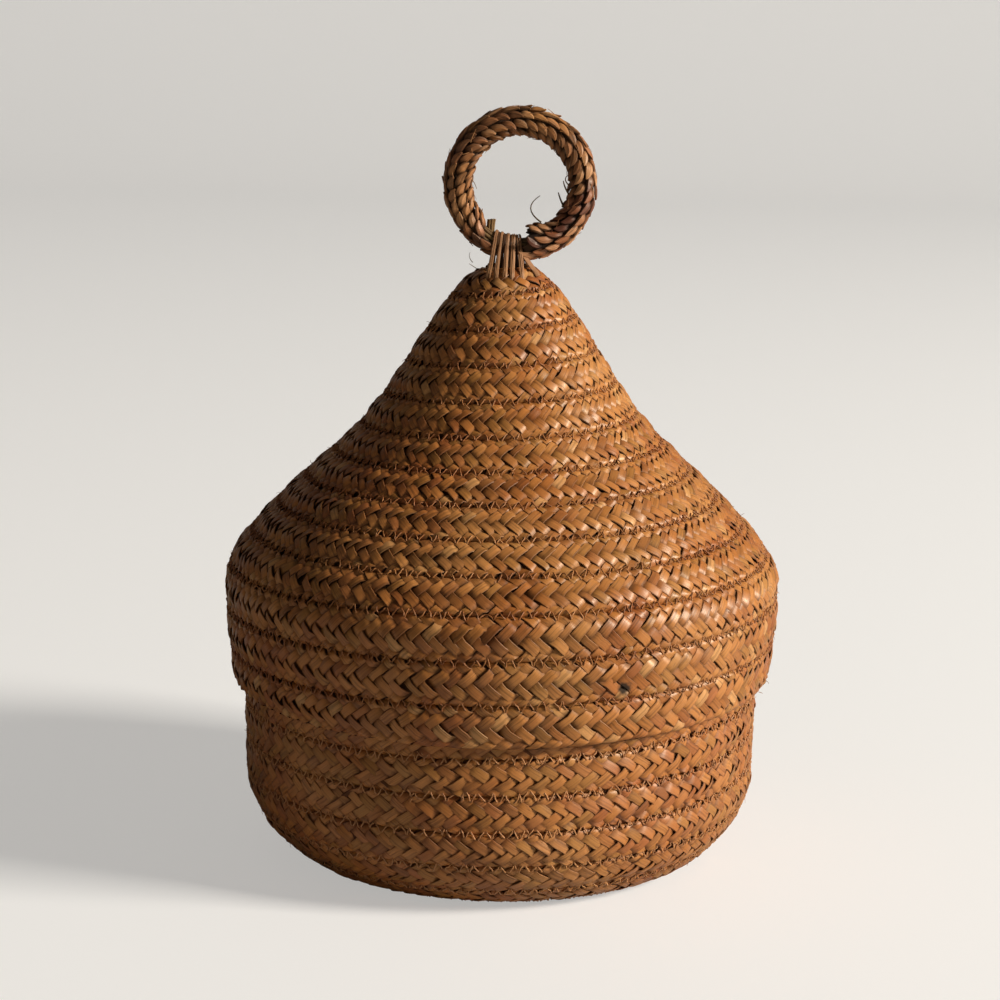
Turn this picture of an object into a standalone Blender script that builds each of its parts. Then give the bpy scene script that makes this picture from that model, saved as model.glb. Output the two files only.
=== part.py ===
"""Raffia lidded box.

A flat raffia plait is wound edge to edge into a round base and into a bell-shaped lid.
A thread sews each seam. A ring of grass under a tubular plait stands on the lid's tip. A
lashing passes over its bare core, between the tubular plait's two cut ends, and through
two slits in the tip row.
Metres, +Z up. The origin is the middle of the flat underside, the front faces -Y.
"""
import math

import bmesh
import bpy
import numpy as np

# The plait and its sewing
PLAIT_THICKNESS = 0.0018
PLAIT_EDGE = 0.0010
PLAIT_START_WIDTH = 0.0030
SEAM_GAP = 0.00045
THREAD_DIAMETER = 0.0005
TURN_POINTS = 24
START_BLEND_TURNS = 0.25
TAIL_TURNS = 0.75
FRONT_TURN = 0.75

# The base, outside sizes
BASE_RADIUS = 0.0677
BASE_TAPER = 0.0008
CORNER_REACH = 0.0165
CORNER_RISE = 0.0200
CORNER_FULLNESS = 1.6
BASE_CENTRE_HOLE = 0.0006
BASE_ROW_WIDTH = 0.0093
BASE_START_TURN = 14 / TURN_POINTS
BASE_SEWN_FROM = 0.5

# The lid: radius outside, height above its own rim
LID_RIM_HEIGHT = 0.0448
CUFF_GAP = 0.0006
BELLY_SWELL = 0.0018
BELLY_RISE = 0.0215
SHOULDER_RADIUS = 0.0700
SHOULDER_RISE = 0.0330
FLARE_RADIUS = 0.0572
FLARE_RISE = 0.0480
WAIST_RADIUS = 0.0360
WAIST_RISE = 0.0686
NECK_RADIUS = 0.0187
NECK_RISE = 0.0943
TIP_RADIUS = 0.0124
TIP_RISE = 0.1027
TIP_HOLE_RADIUS = 0.0060
TIP_CROWN = 0.0054
LID_ROW_WIDTH = 0.0100
LID_CUFF_ROWS = 3
LID_CUFF_SPREAD = 0.0010
LID_START_TURN = 9 / TURN_POINTS
LID_SEWN_FROM = 0.5

# Fits
SEAT_GAP = 0.0003
PIECE_GAP = 0.0003

# The handle, whose ring stands a little to the right of the lid's axis
RING_RADIUS = 0.01585
RING_ROPE_DIAMETER = 0.0081
RING_SLEEVE_WALL = 0.0013
RING_SIDE_OFFSET = 0.0028
RING_POINTS = 40
SLEEVE_END_RIGHT = 0.0044
SLEEVE_END_LEFT = 0.0057
CORE_END_GAP = 0.0006

# The lashing
LASHING_LOOPS = 5
LASHING_DIAMETER = 0.0007
LASHING_PITCH_TOP = 0.00114
LASHING_PITCH_FOOT = 0.00180
LASHING_FOOT_RADIUS = 0.0098
LASHING_FOOT_OFFSET = 0.0009
LASHING_UNDER_DROP = 0.0050
LASHING_CLEARANCE = 0.00045
CROWN_TOUCHES = (0.25, 0.75)
LOOP_POINTS = 24
SPAN_STEPS = 20


def clear_scene():
    """Remove what the start-up scene holds."""
    for thing in list(bpy.data.objects):
        bpy.data.objects.remove(thing)


def collection(name):
    """Make a collection in the scene."""
    group = bpy.data.collections.new(name)
    bpy.context.scene.collection.children.link(group)
    return group


def material(name, colour, roughness):
    """Make a plain Principled material."""
    finish = bpy.data.materials.new(name)
    finish.use_nodes = True
    shader = finish.node_tree.nodes["Principled BSDF"]
    shader.inputs["Base Color"].default_value = (*colour, 1.0)
    shader.inputs["Roughness"].default_value = roughness
    shader.inputs["Metallic"].default_value = 0.0
    return finish


def place(name, data, group, finish, parent=None):
    """Link a piece into its collection, with its material and its parent."""
    piece = bpy.data.objects.new(name, data)
    data.materials.append(finish)
    group.objects.link(piece)
    piece.parent = parent
    return piece


def smooth_outline(points, steps=40):
    """Carry a smooth curve through (radius, height) points, as a Catmull-Rom spline."""
    knots = np.array(points)
    ends = np.vstack([2 * knots[0] - knots[1], knots, 2 * knots[-1] - knots[-2]])
    t = np.linspace(0.0, 1.0, steps, endpoint=False)[:, None]
    runs = []
    for a, b, c, d in zip(ends[:-3], ends[1:-2], ends[2:-1], ends[3:]):
        slope_b = (c - a) / 2
        slope_c = (d - b) / 2
        runs.append(
            (2 * t**3 - 3 * t**2 + 1) * b
            + (t**3 - 2 * t**2 + t) * slope_b
            + (3 * t**2 - 2 * t**3) * c
            + (t**3 - t**2) * slope_c
        )
    return np.vstack(runs + [knots[-1:]])


def outward(outline):
    """Unit normals of an outline, pointing away from the hollow that it encloses.

    An outline that ends lower than it starts is the lid's, and the base's ends higher.
    """
    step = np.gradient(outline, axis=0)
    step /= np.linalg.norm(step, axis=1)[:, None]
    side = 1.0 if outline[-1, 1] < outline[0, 1] else -1.0
    return np.stack([-step[:, 1], step[:, 0]], axis=1) * side


def offset_inward(outline, distance):
    """Move an outline inwards along its normals."""
    return outline - outward(outline) * distance


class Wall:
    """The middle surface of a wound wall, read by its length from the start."""

    def __init__(self, outline):
        self.outline = outline
        self.normal = outward(outline)
        steps = np.linalg.norm(np.diff(outline, axis=0), axis=1)
        self.length = np.concatenate([[0.0], np.cumsum(steps)])

    def at(self, length, lift=0.0):
        """Radius and height at a length, lifted off the middle surface by lift."""
        point = [np.interp(length, self.length, self.outline[:, k]) for k in (0, 1)]
        side = [np.interp(length, self.length, self.normal[:, k]) for k in (0, 1)]
        size = np.hypot(*side)
        return point[0] + side[0] / size * lift, point[1] + side[1] / size * lift


def lid_outline():
    """The lid's outer surface, from the hole in its tip down to its rim."""
    rim_radius = BASE_RADIUS + CUFF_GAP + PLAIT_THICKNESS
    return smooth_outline([
        (TIP_HOLE_RADIUS, TIP_RISE + TIP_CROWN),
        (TIP_RADIUS, TIP_RISE),
        (NECK_RADIUS, NECK_RISE),
        (WAIST_RADIUS, WAIST_RISE),
        (FLARE_RADIUS, FLARE_RISE),
        (SHOULDER_RADIUS, SHOULDER_RISE),
        (rim_radius + BELLY_SWELL, BELLY_RISE),
        (rim_radius, 0.0),
    ])


def base_height():
    """Height at which the base's rim meets the inside of the lid's shoulder."""
    inner = offset_inward(lid_outline(), PLAIT_THICKNESS)
    upper = inner[inner[:, 1] > BELLY_RISE]
    radius, height = upper[::-1, 0], upper[::-1, 1]
    order = np.argsort(radius)
    corner = np.interp(BASE_RADIUS + SEAT_GAP, radius[order], height[order])
    edge = np.interp(BASE_RADIUS - PLAIT_THICKNESS / 2 + SEAT_GAP, radius[order], height[order])
    return LID_RIM_HEIGHT + min(corner + PLAIT_EDGE, edge) - SEAT_GAP


def base_outline():
    """The base's outer surface, from the middle of its underside up to its rim."""
    foot = BASE_RADIUS - BASE_TAPER - CORNER_REACH
    turn = np.linspace(0.0, math.pi / 2, 25)
    across = np.sin(turn) ** (2 / CORNER_FULLNESS)
    up = 1 - np.clip(np.cos(turn), 0.0, 1.0) ** (2 / CORNER_FULLNESS)
    corner = np.stack([foot + CORNER_REACH * across, CORNER_RISE * up], 1)
    floor = np.stack([np.linspace(0.0, foot, 60), np.zeros(60)], 1)[:-1]
    rise = np.linspace(0.0, 1.0, 40)[1:]
    wall = np.stack([
        BASE_RADIUS - BASE_TAPER * (1 - rise),
        CORNER_RISE + (base_height() - CORNER_RISE) * rise,
    ], 1)
    return np.vstack([floor, corner, wall])


class Plait:
    """A flat plait wound edge to edge on a wall, from start to the wall's end.

    near and far are the lengths along the wall of the row's two edges, for each point of
    the spiral. The row grows from a narrow start. From the front of the last turn on, its
    far edge runs level along the rim, so that the row thins to a tail.
    """

    def __init__(self, wall, start, row_width, start_turn, way, wide_rows=0, spread=0.0):
        self.wall = wall
        reach = wall.length[-1] - start - PLAIT_START_WIDTH - wide_rows * spread
        at_front = (FRONT_TURN - start_turn) * way % 1.0
        rows = max(2, round(reach / row_width - at_front)) + at_front
        self.pitch = reach / rows
        self.turns = np.arange(round((rows + TAIL_TURNS) * TURN_POINTS) + 1) / TURN_POINTS
        self.angle = 2 * math.pi * (start_turn + way * self.turns)

        def far_edge(turn):
            level = np.minimum(turn, rows)
            wider = spread * np.maximum(level - (rows - wide_rows), 0.0)
            return start + PLAIT_START_WIDTH + self.pitch * level + wider

        blend = np.clip((self.turns - 1.0) / START_BLEND_TURNS + 1.0, 0.0, 1.0)
        near_start = start + PLAIT_START_WIDTH * blend * blend * (3 - 2 * blend)
        self.near = np.where(self.turns < 1.0, near_start, far_edge(self.turns - 1.0))
        self.far = far_edge(self.turns)

    def points(self, length, lift, chosen=slice(None)):
        """Points at a length along the wall and a lift off it, at the chosen angles."""
        radius, z = self.wall.at(length, lift)
        angle = self.angle[chosen]
        return np.stack([radius * np.cos(angle), radius * np.sin(angle), z], 1)


def loft(name, sections):
    """Skin a row of closed sections, given as (count, corners, 3), and cap its ends."""
    count, corners = sections.shape[:2]
    mesh = bpy.data.meshes.new(name)
    shape = bmesh.new()
    rings = [[shape.verts.new(corner) for corner in ring] for ring in sections]
    for ring, following in zip(rings[:-1], rings[1:]):
        for k in range(corners):
            after = (k + 1) % corners
            shape.faces.new((ring[k], ring[after], following[after], following[k]))
    shape.faces.new(rings[0][::-1])
    shape.faces.new(rings[-1])
    bmesh.ops.recalc_face_normals(shape, faces=shape.faces)
    shape.to_mesh(mesh)
    shape.free()
    return mesh


def plait_mesh(name, plait):
    """The plait's closed strip, each section lying in the plane through the axis."""
    near = plait.near + SEAM_GAP / 2
    far = plait.far - SEAM_GAP / 2
    middle = (near + far) / 2
    half = (far - near) / 2
    edge = np.minimum(PLAIT_EDGE, half / 2)
    lift = PLAIT_THICKNESS / 2
    corners = [
        (-half, 0.0), (edge - half, lift), (half - edge, lift),
        (half, 0.0), (half - edge, -lift), (edge - half, -lift),
    ]
    sections = [plait.points(middle + along, height) for along, height in corners]
    print(name, "turns", round(float(plait.turns[-1]), 2), "row pitch", round(plait.pitch, 5))
    return loft(name, np.stack(sections, 1))


def groove_lift():
    """Height over the wall's middle at which a thread lies clear in the seam's groove."""
    half_mouth = SEAM_GAP / 2 + PLAIT_EDGE
    depth = PLAIT_THICKNESS / 2
    slope = math.hypot(PLAIT_EDGE, depth)
    keep = THREAD_DIAMETER / 2 + PIECE_GAP
    below_face = (half_mouth * depth - keep * slope) / PLAIT_EDGE
    return depth - max(below_face, THREAD_DIAMETER / 2)


def tube(name, points, diameter, resolution, caps=True):
    """A round tube along a row of points."""
    curve = bpy.data.curves.new(name, "CURVE")
    curve.dimensions = "3D"
    curve.bevel_depth = diameter / 2
    curve.bevel_resolution = resolution
    curve.use_fill_caps = caps
    spline = curve.splines.new("POLY")
    spline.points.add(len(points) - 1)
    spline.points.foreach_set("co", np.column_stack([points, np.ones(len(points))]).ravel())
    return curve


def thread_curve(name, plait, first_turn):
    """The sewing thread, which follows the seam between neighbouring rows."""
    sewn = (plait.turns >= first_turn) & (plait.turns <= plait.turns[-1] - 1.0)
    return tube(name, plait.points(plait.far[sewn], groove_lift(), sewn), THREAD_DIAMETER, 0)


def ring_points(right, left):
    """Points of the ring, from an end to the right of the lid's axis round to one left of it.

    They are measured from the ring's lowest point, in the middle of the rope.
    """
    first = math.asin((right - RING_SIDE_OFFSET) / RING_RADIUS) - math.pi / 2
    last = 1.5 * math.pi - math.asin((left + RING_SIDE_OFFSET) / RING_RADIUS)
    angle = np.linspace(first, last, RING_POINTS)
    return np.stack([
        RING_RADIUS * np.cos(angle),
        np.zeros(RING_POINTS),
        RING_RADIUS * (1 + np.sin(angle)),
    ], 1)


def ring_seat():
    """Height of the rope's middle over the lid's rim where the ring stands on the tip."""
    tip = Wall(offset_inward(lid_outline(), PLAIT_THICKNESS / 2))
    radius, height = tip.at(0.0, PLAIT_THICKNESS / 2)
    rope = RING_ROPE_DIAMETER / 2
    half_gap = min(radius, rope + PIECE_GAP)
    return height + math.sqrt((rope + PIECE_GAP) ** 2 - half_gap**2) + rope + PIECE_GAP


def core_diameter():
    """Diameter of the grass core, which lies loose in its sleeve."""
    return RING_ROPE_DIAMETER - 2 * RING_SLEEVE_WALL - 2 * PIECE_GAP


def lashing_points(seat):
    """One unbroken winding over the bare core and through the tip row, along X.

    Each loop is a closed outline in the Y-Z plane, smoothed through a few places: round
    the top of the core, along the tip row's crown, in the slit, and back under the tip.
    The loops step along X, closer at the top than at the foot.
    """
    over = core_diameter() / 2 + LASHING_CLEARANCE + LASHING_DIAMETER / 2
    stand_off = LASHING_DIAMETER / 2 + LASHING_CLEARANCE
    foot = slit_height()
    reach = LASHING_FOOT_RADIUS - TIP_HOLE_RADIUS
    round_core = [(over * math.sin(turn), seat + over * math.cos(turn))
                  for turn in (0.0, math.pi / 4, math.pi / 2)]
    on_crown = [tip_surface(TIP_HOLE_RADIUS + reach * part, stand_off) for part in CROWN_TOUCHES]
    under = foot - LASHING_UNDER_DROP
    half = round_core + on_crown + [
        (LASHING_FOOT_RADIUS, foot),
        (LASHING_FOOT_RADIUS - 2 * PLAIT_THICKNESS, foot - LASHING_DIAMETER),
        (LASHING_FOOT_RADIUS / 3, under),
    ]
    outline = [(-y, z) for y, z in half] + [(0.0, under)] + [(y, z) for y, z in half[:0:-1]]
    closed = smooth_outline(outline[-2:] + outline + outline[:3], SPAN_STEPS)
    first = 2 * SPAN_STEPS
    closed = closed[first:first + SPAN_STEPS * len(outline) + 1]
    steps = np.concatenate([[0.0], np.cumsum(np.linalg.norm(np.diff(closed, axis=0), axis=1))])
    turn = np.arange(LASHING_LOOPS * LOOP_POINTS + 1) / LOOP_POINTS
    at = (turn % 1.0) * steps[-1]
    y = np.interp(at, steps, closed[:, 0])
    z = np.interp(at, steps, closed[:, 1])
    spread = np.clip((seat + over - z) / (seat + over - foot), 0.0, 1.0)
    pitch = LASHING_PITCH_TOP + (LASHING_PITCH_FOOT - LASHING_PITCH_TOP) * spread
    x = (turn - LASHING_LOOPS / 2) * pitch - LASHING_FOOT_OFFSET * spread
    core_rise = RING_RADIUS - np.sqrt(RING_RADIUS**2 - (x - RING_SIDE_OFFSET) ** 2)
    draw_in = 1 - np.sqrt(1 - (x / LASHING_FOOT_RADIUS) ** 2)
    return np.stack([x, y * (1 - draw_in * spread), z + core_rise * (1 - spread)], 1)


def tip_surface(radius, lift):
    """Radius and height of a point at lift over the tip row's outside."""
    outline = lid_outline()
    normal = outward(outline)
    nearest = int(np.argmin(np.abs(outline[:, 0] - radius)))
    point = outline[nearest] + normal[nearest] * lift
    return float(point[0]), float(point[1])


def slit_height():
    """Height over the lid's rim at which the lashing goes through the tip row."""
    return tip_surface(LASHING_FOOT_RADIUS, -PLAIT_THICKNESS / 2)[1]


def least_gap(points, diameter, loop_points):
    """Least clear distance of a winding to itself, measured between its points."""
    fine = np.vstack([points[:-1] + (points[1:] - points[:-1]) * t for t in (0.0, 0.25, 0.5, 0.75)])
    order = np.concatenate([np.arange(len(points) - 1) + t for t in (0.0, 0.25, 0.5, 0.75)])
    apart = np.linalg.norm(fine[:, None] - fine[None], axis=2)
    other_loop = np.abs(order[:, None] - order[None]) > loop_points / 2
    return apart[other_loop].min() - diameter


def build():
    """Model every piece."""
    clear_scene()
    parts = collection("raffia_lidded_box")
    cutters = collection("cutters")
    raffia = material("raffia_plait", (0.42, 0.21, 0.075), 0.55)
    lid_raffia = material("raffia_plait_lid", (0.45, 0.23, 0.085), 0.55)
    thread = material("raffia_thread", (0.50, 0.31, 0.17), 0.65)
    ring_raffia = material("raffia_ring", (0.40, 0.19, 0.08), 0.6)
    grass = material("grass_core", (0.22, 0.14, 0.06), 0.8)
    lashing_raffia = material("raffia_lashing", (0.48, 0.30, 0.18), 0.65)

    base_wall = Wall(offset_inward(base_outline(), PLAIT_THICKNESS / 2))
    base = Plait(base_wall, BASE_CENTRE_HOLE, BASE_ROW_WIDTH, BASE_START_TURN, 1)
    place("base_plait", plait_mesh("base_plait", base), parts, raffia)
    place("base_sewing_thread", thread_curve("base_sewing_thread", base, BASE_SEWN_FROM),
          parts, thread)

    lid_frame = bpy.data.objects.new("lid_frame", None)
    lid_frame.location = (0.0, 0.0, LID_RIM_HEIGHT)
    parts.objects.link(lid_frame)
    lid_wall = Wall(offset_inward(lid_outline(), PLAIT_THICKNESS / 2))
    lid = Plait(lid_wall, 0.0, LID_ROW_WIDTH, LID_START_TURN, -1, LID_CUFF_ROWS, LID_CUFF_SPREAD)
    lid_plait = place("lid_plait", plait_mesh("lid_plait", lid), parts, lid_raffia, lid_frame)
    place("lid_sewing_thread", thread_curve("lid_sewing_thread", lid, LID_SEWN_FROM), parts,
          thread, lid_frame)

    seat = ring_seat()
    winding_points = lashing_points(seat)
    place("handle_lashing", tube("handle_lashing", winding_points, LASHING_DIAMETER, 1), parts,
          lashing_raffia, lid_frame)
    gap = least_gap(winding_points, LASHING_DIAMETER, LOOP_POINTS)
    print("lashing: least gap to itself", round(gap * 1000, 3), "mm")

    slit = bmesh.new()
    bmesh.ops.create_cube(slit, size=1.0)
    left, right = winding_points[:, 0].min(), winding_points[:, 0].max()
    foot_width = right - left + LASHING_DIAMETER + 2 * PIECE_GAP
    tall = LASHING_DIAMETER + 4 * PIECE_GAP
    bmesh.ops.scale(slit, vec=(foot_width, 4 * LASHING_FOOT_RADIUS, tall), verts=slit.verts)
    slit_mesh = bpy.data.meshes.new("tip_slit")
    slit.to_mesh(slit_mesh)
    slit.free()
    cutter = bpy.data.objects.new("tip_slit", slit_mesh)
    cutter.location = ((left + right) / 2, 0.0, slit_height())
    cutter.parent = lid_frame
    cutter.hide_render = True
    cutter.display_type = "WIRE"
    cutters.objects.link(cutter)
    cut = lid_plait.modifiers.new("slits", "BOOLEAN")
    cut.operation = "DIFFERENCE"
    cut.object = cutter

    handle_pivot = bpy.data.objects.new("handle_pivot", None)
    handle_pivot.location = (RING_SIDE_OFFSET, 0.0, seat)
    handle_pivot.parent = lid_frame
    parts.objects.link(handle_pivot)
    covered = ring_points(SLEEVE_END_RIGHT, SLEEVE_END_LEFT)
    sleeve = place("handle_plait", tube("handle_plait", covered, RING_ROPE_DIAMETER, 2, caps=False),
                   parts, ring_raffia, handle_pivot)
    wall = sleeve.modifiers.new("wall", "SOLIDIFY")
    wall.thickness = RING_SLEEVE_WALL
    wall.offset = -1.0
    core = ring_points(CORE_END_GAP / 2, CORE_END_GAP / 2)
    place("handle_core", tube("handle_core", core, core_diameter(), 1), parts, grass,
          handle_pivot)
    print("heights: base rim", round(base_height(), 4), "lid rim", LID_RIM_HEIGHT,
          "ring middle at the foot", round(LID_RIM_HEIGHT + seat, 4),
          "top", round(LID_RIM_HEIGHT + seat + 2 * RING_RADIUS + RING_ROPE_DIAMETER / 2, 4))


build()
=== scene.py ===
# %% [markdown]
# # A raffia lidded box
#
# The box is a basket. A flat plait of seven raffia strands is wound edge to edge, like a
# coiled rope, into a round base and into a bell-shaped lid, and a thin thread is sewn in
# zigzag along every seam. A ring of tubular plait over a grass core is lashed to the
# lid's tip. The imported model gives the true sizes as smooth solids. This lesson weaves
# the real strands in their place.

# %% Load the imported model
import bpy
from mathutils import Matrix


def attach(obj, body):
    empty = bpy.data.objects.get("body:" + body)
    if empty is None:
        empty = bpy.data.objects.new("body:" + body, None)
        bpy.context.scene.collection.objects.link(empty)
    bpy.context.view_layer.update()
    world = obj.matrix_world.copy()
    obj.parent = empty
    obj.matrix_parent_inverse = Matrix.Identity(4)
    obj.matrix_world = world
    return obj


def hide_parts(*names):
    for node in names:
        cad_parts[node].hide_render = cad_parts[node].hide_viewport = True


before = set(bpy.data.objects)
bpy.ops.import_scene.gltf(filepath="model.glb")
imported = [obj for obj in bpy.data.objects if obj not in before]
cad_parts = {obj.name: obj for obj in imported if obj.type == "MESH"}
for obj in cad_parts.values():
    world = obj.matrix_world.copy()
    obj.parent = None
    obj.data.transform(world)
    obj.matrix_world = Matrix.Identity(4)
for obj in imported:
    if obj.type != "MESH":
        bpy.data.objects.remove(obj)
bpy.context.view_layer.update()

import math

import bpy
import numpy as np
from mathutils import Matrix, Vector

MM = 0.001

# %% [markdown]
# ## The camera
#
# The photograph looks down on the box a little, from about 60 centimetres away. A
# camera can be placed by eye, but here its distance, height, tilt and the small roll of
# the horizon were measured first, so that each row of the plait falls where it should.
# The view stays Standard, so that colours render about as they are written.

# %% Place the camera
CAMERA_DISTANCE = 0.6133
CAMERA_HEIGHT = 0.2165
CAMERA_TILT = math.radians(11.555)
CAMERA_ROLL = math.radians(1.0216)

camera_data = bpy.data.cameras.new("camera")
camera_data.sensor_width = 36.0
camera_data.lens = 86.4
camera_data.shift_x = -0.003585
camera_data.clip_start = 0.01
camera = bpy.data.objects.new("camera", camera_data)
bpy.context.scene.collection.objects.link(camera)
camera.matrix_world = (
    Matrix.Translation((0.0, -CAMERA_DISTANCE, CAMERA_HEIGHT))
    @ Matrix.Rotation(math.pi / 2 - CAMERA_TILT, 4, "X")
    @ Matrix.Rotation(CAMERA_ROLL, 4, "Z")
)
bpy.context.scene.camera = camera
bpy.context.scene.view_settings.view_transform = "Standard"

# %% [markdown]
# ## From arrays to a mesh
#
# Everything on this box is long and thin: flat strands, round threads, loose fibres. One
# helper makes them all. It takes the cross-sections of many strands in one array,
# `sections[strand, station, corner]`, and skins each strand from station to station.
# Adding faces one by one would be slow with thousands of strands, so the indices are
# worked out as whole arrays and handed over with `foreach_set`.
#
# Each strand also keeps a number of its own, its tone, and each station its depth in the
# weave, 0 on top and 1 underneath. A UV map runs across and along the strand. The
# materials read all three.

# %% Skin many strands at once
def skin(name, sections, across, along, tone, depth, smooth_angle):
    """A mesh object from sections[strand, station, corner, xyz].

    Corner k of a station is joined by a quad to corner k + 1 and to the same two corners
    of the next station, and a polygon closes each end. The corners run anticlockwise as
    seen from the strand's far end, so the faces point outwards. The UV map is (across
    each corner, along each station). tone is one number a strand, and depth is spread over
    sections' first three axes. Edges sharper than smooth_angle stay crisp.
    """
    strands, stations, corners = sections.shape[:3]
    index = np.arange(strands * stations * corners, dtype=np.int32)
    index = index.reshape(strands, stations, corners)
    turned = np.roll(index, -1, axis=2)
    quads = np.stack([index[:, :-1], turned[:, :-1], turned[:, 1:], index[:, 1:]], -1)
    caps = np.concatenate([index[:, 0, ::-1], index[:, -1, :]])
    loops = np.concatenate([quads.ravel(), caps.ravel()])
    sizes = np.concatenate([np.full(quads.size // 4, 4), np.full(len(caps), corners)])
    starts = np.concatenate([[0], np.cumsum(sizes)[:-1]]).astype(np.int32)

    mesh = bpy.data.meshes.new(name)
    mesh.vertices.add(index.size)
    mesh.vertices.foreach_set("co", sections.astype(np.float32).ravel())
    mesh.loops.add(len(loops))
    mesh.loops.foreach_set("vertex_index", loops)
    mesh.polygons.add(len(sizes))
    mesh.polygons.foreach_set("loop_start", starts)
    mesh.update(calc_edges=True)

    whole = (strands, stations, corners)
    uv = np.stack([np.broadcast_to(across, whole), np.broadcast_to(along[..., None], whole)], -1)
    layer = mesh.uv_layers.new(name="strand")
    layer.data.foreach_set("uv", uv.reshape(-1, 2)[loops].astype(np.float32).ravel())
    for label, number in (("tone", np.reshape(tone, (-1, 1, 1))), ("depth", depth)):
        number = np.broadcast_to(number, whole).astype(np.float32)
        mesh.attributes.new(label, "FLOAT", "POINT").data.foreach_set("value", number.ravel())
    mesh.polygons.foreach_set("use_smooth", np.ones(len(sizes), bool))
    mesh.set_sharp_from_angle(angle=math.radians(smooth_angle))
    piece = bpy.data.objects.new(name, mesh)
    bpy.context.scene.collection.objects.link(piece)
    triangles = int((sizes - 2).sum())
    print(f"{name}: {strands} strands, {triangles} triangles")
    return piece


# %% [markdown]
# A profile is the outline of a strand cut across: its corners, and a number for each that
# says how far across the strand it lies, for the UV map. A raffia strand is a flat ribbon,
# a little crowned, with crisp edges, and a thread or a stalk is round.

# %% Draw the profiles
def ribbon(*corners):
    """A flat profile that is 2 wide: across goes from 0 at its left edge to 1."""
    corners = np.array(corners)
    return corners, (corners[:, 0] + 1) / 2


def rod(count):
    """A round profile of radius 1, as points at equal angles. Across goes down and up
    again, from 0.75 to 0.25 and back, so that it meets itself and has no edge."""
    angle = 2 * math.pi * np.arange(count) / count
    across = 0.25 + 0.5 * np.abs(np.linspace(-1, 1, count))
    return np.stack([np.cos(angle), np.sin(angle)], 1), across


FLAT = ribbon((1.0, -0.2), (0.88, 0.64), (0.0, 1.0), (-0.88, 0.64), (-1.0, -0.2),
              (-0.75, -0.9), (0.75, -0.9))
print("a flat strand has", len(FLAT[0]), "corners")

# %% [markdown]
# A strand is such a profile carried along a path. At each station the path's own direction
# and the normal of the surface it lies on give a small frame: forward, sideways and up. The
# profile's corners are laid out in that frame, for all strands and stations at once.

# %% Carry a profile along paths
def unit(vectors):
    """Vectors divided by their lengths."""
    return vectors / np.maximum(np.linalg.norm(vectors, axis=-1, keepdims=True), 1e-12)


def carry(path, normal, corners, half_width, half_height, roll, side):
    """Sections of a profile along path[strand, station].

    forward is the path's slope, side = normal x forward, up = forward x side. A corner
    (x, y) of the profile lies at path + side * x * half_width + up * y * half_height,
    after side and up are turned by roll about forward. A side that is given instead slants
    the sections.
    """
    forward = unit(np.gradient(path, axis=1))
    square = unit(np.cross(normal, forward))
    up = np.cross(forward, square)
    side = square if side is None else side
    shape = path.shape[:2] + (1, 1)
    turn = np.broadcast_to(np.reshape(roll, np.shape(roll) + (1,) * (4 - np.ndim(roll))), shape)
    wide = np.broadcast_to(np.asarray(half_width)[..., None, None], shape)
    high = np.broadcast_to(np.asarray(half_height)[..., None, None], shape)
    x = corners[:, 0, None] * wide
    y = corners[:, 1, None] * high
    side, up = side[:, :, None], up[:, :, None]
    tilted_side = side * np.cos(turn) + up * np.sin(turn)
    tilted_up = up * np.cos(turn) - side * np.sin(turn)
    return path[:, :, None] + tilted_side * x + tilted_up * y


def run_length(path):
    """Distance along each path to each of its stations."""
    steps = np.linalg.norm(np.diff(path, axis=1), axis=-1)
    return np.concatenate([np.zeros((len(path), 1)), np.cumsum(steps, axis=1)], axis=1)


def lay(name, path, normal, profile, half_width, half_height, tone, roll=0.0, side=None,
        depth=0.0, smooth_angle=40.0):
    """One piece of all the strands: the profile carried along the paths and skinned. The
    UV along a strand is its length in millimetres."""
    corners, across = profile
    sections = carry(path, normal, corners, half_width, half_height, roll, side)
    return skin(name, sections, across, run_length(path) / MM, tone, depth, smooth_angle)


# %% [markdown]
# ## The walls
#
# The base and the lid are surfaces of revolution with soft outlines. Each outline is the
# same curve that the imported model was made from: a smooth curve through a few points for
# the lid, and a floor, a rounded corner and a wall for the base. The plait lies on the
# middle of the wall, so the outline is moved in by half the plait's thickness.

# %% Draw the two outlines
PLAIT_THICKNESS = 1.8 * MM
BASE_RADIUS = 67.7 * MM
BASE_HEIGHT = 78.4 * MM
LID_RIM_HEIGHT = 44.8 * MM
LID_RIM_RADIUS = BASE_RADIUS + 0.6 * MM + PLAIT_THICKNESS
TIP_HOLE_RADIUS = 6.0 * MM

LID_POINTS = np.array([
    (TIP_HOLE_RADIUS / MM, 108.1), (12.4, 102.7), (18.7, 94.3), (36.0, 68.6), (57.2, 48.0),
    (70.0, 33.0), (LID_RIM_RADIUS / MM + 1.8, 21.5), (LID_RIM_RADIUS / MM, 0.0),
]) * MM


def smooth_outline(points, steps=40):
    """A Catmull-Rom curve: between two points it leaves and arrives along the line that
    joins the points on either side."""
    ends = np.vstack([2 * points[0] - points[1], points, 2 * points[-1] - points[-2]])
    a, b, c, d = (ends[k:k + len(points) - 1, None] for k in range(4))
    t = np.linspace(0.0, 1.0, steps, endpoint=False)[None, :, None]
    curve = ((2 * t**3 - 3 * t**2 + 1) * b + (t**3 - 2 * t**2 + t) * (c - a) / 2
             + (3 * t**2 - 2 * t**3) * c + (t**3 - t**2) * (d - b) / 2)
    return np.vstack([curve.reshape(-1, points.shape[1]), points[-1:]])


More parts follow.
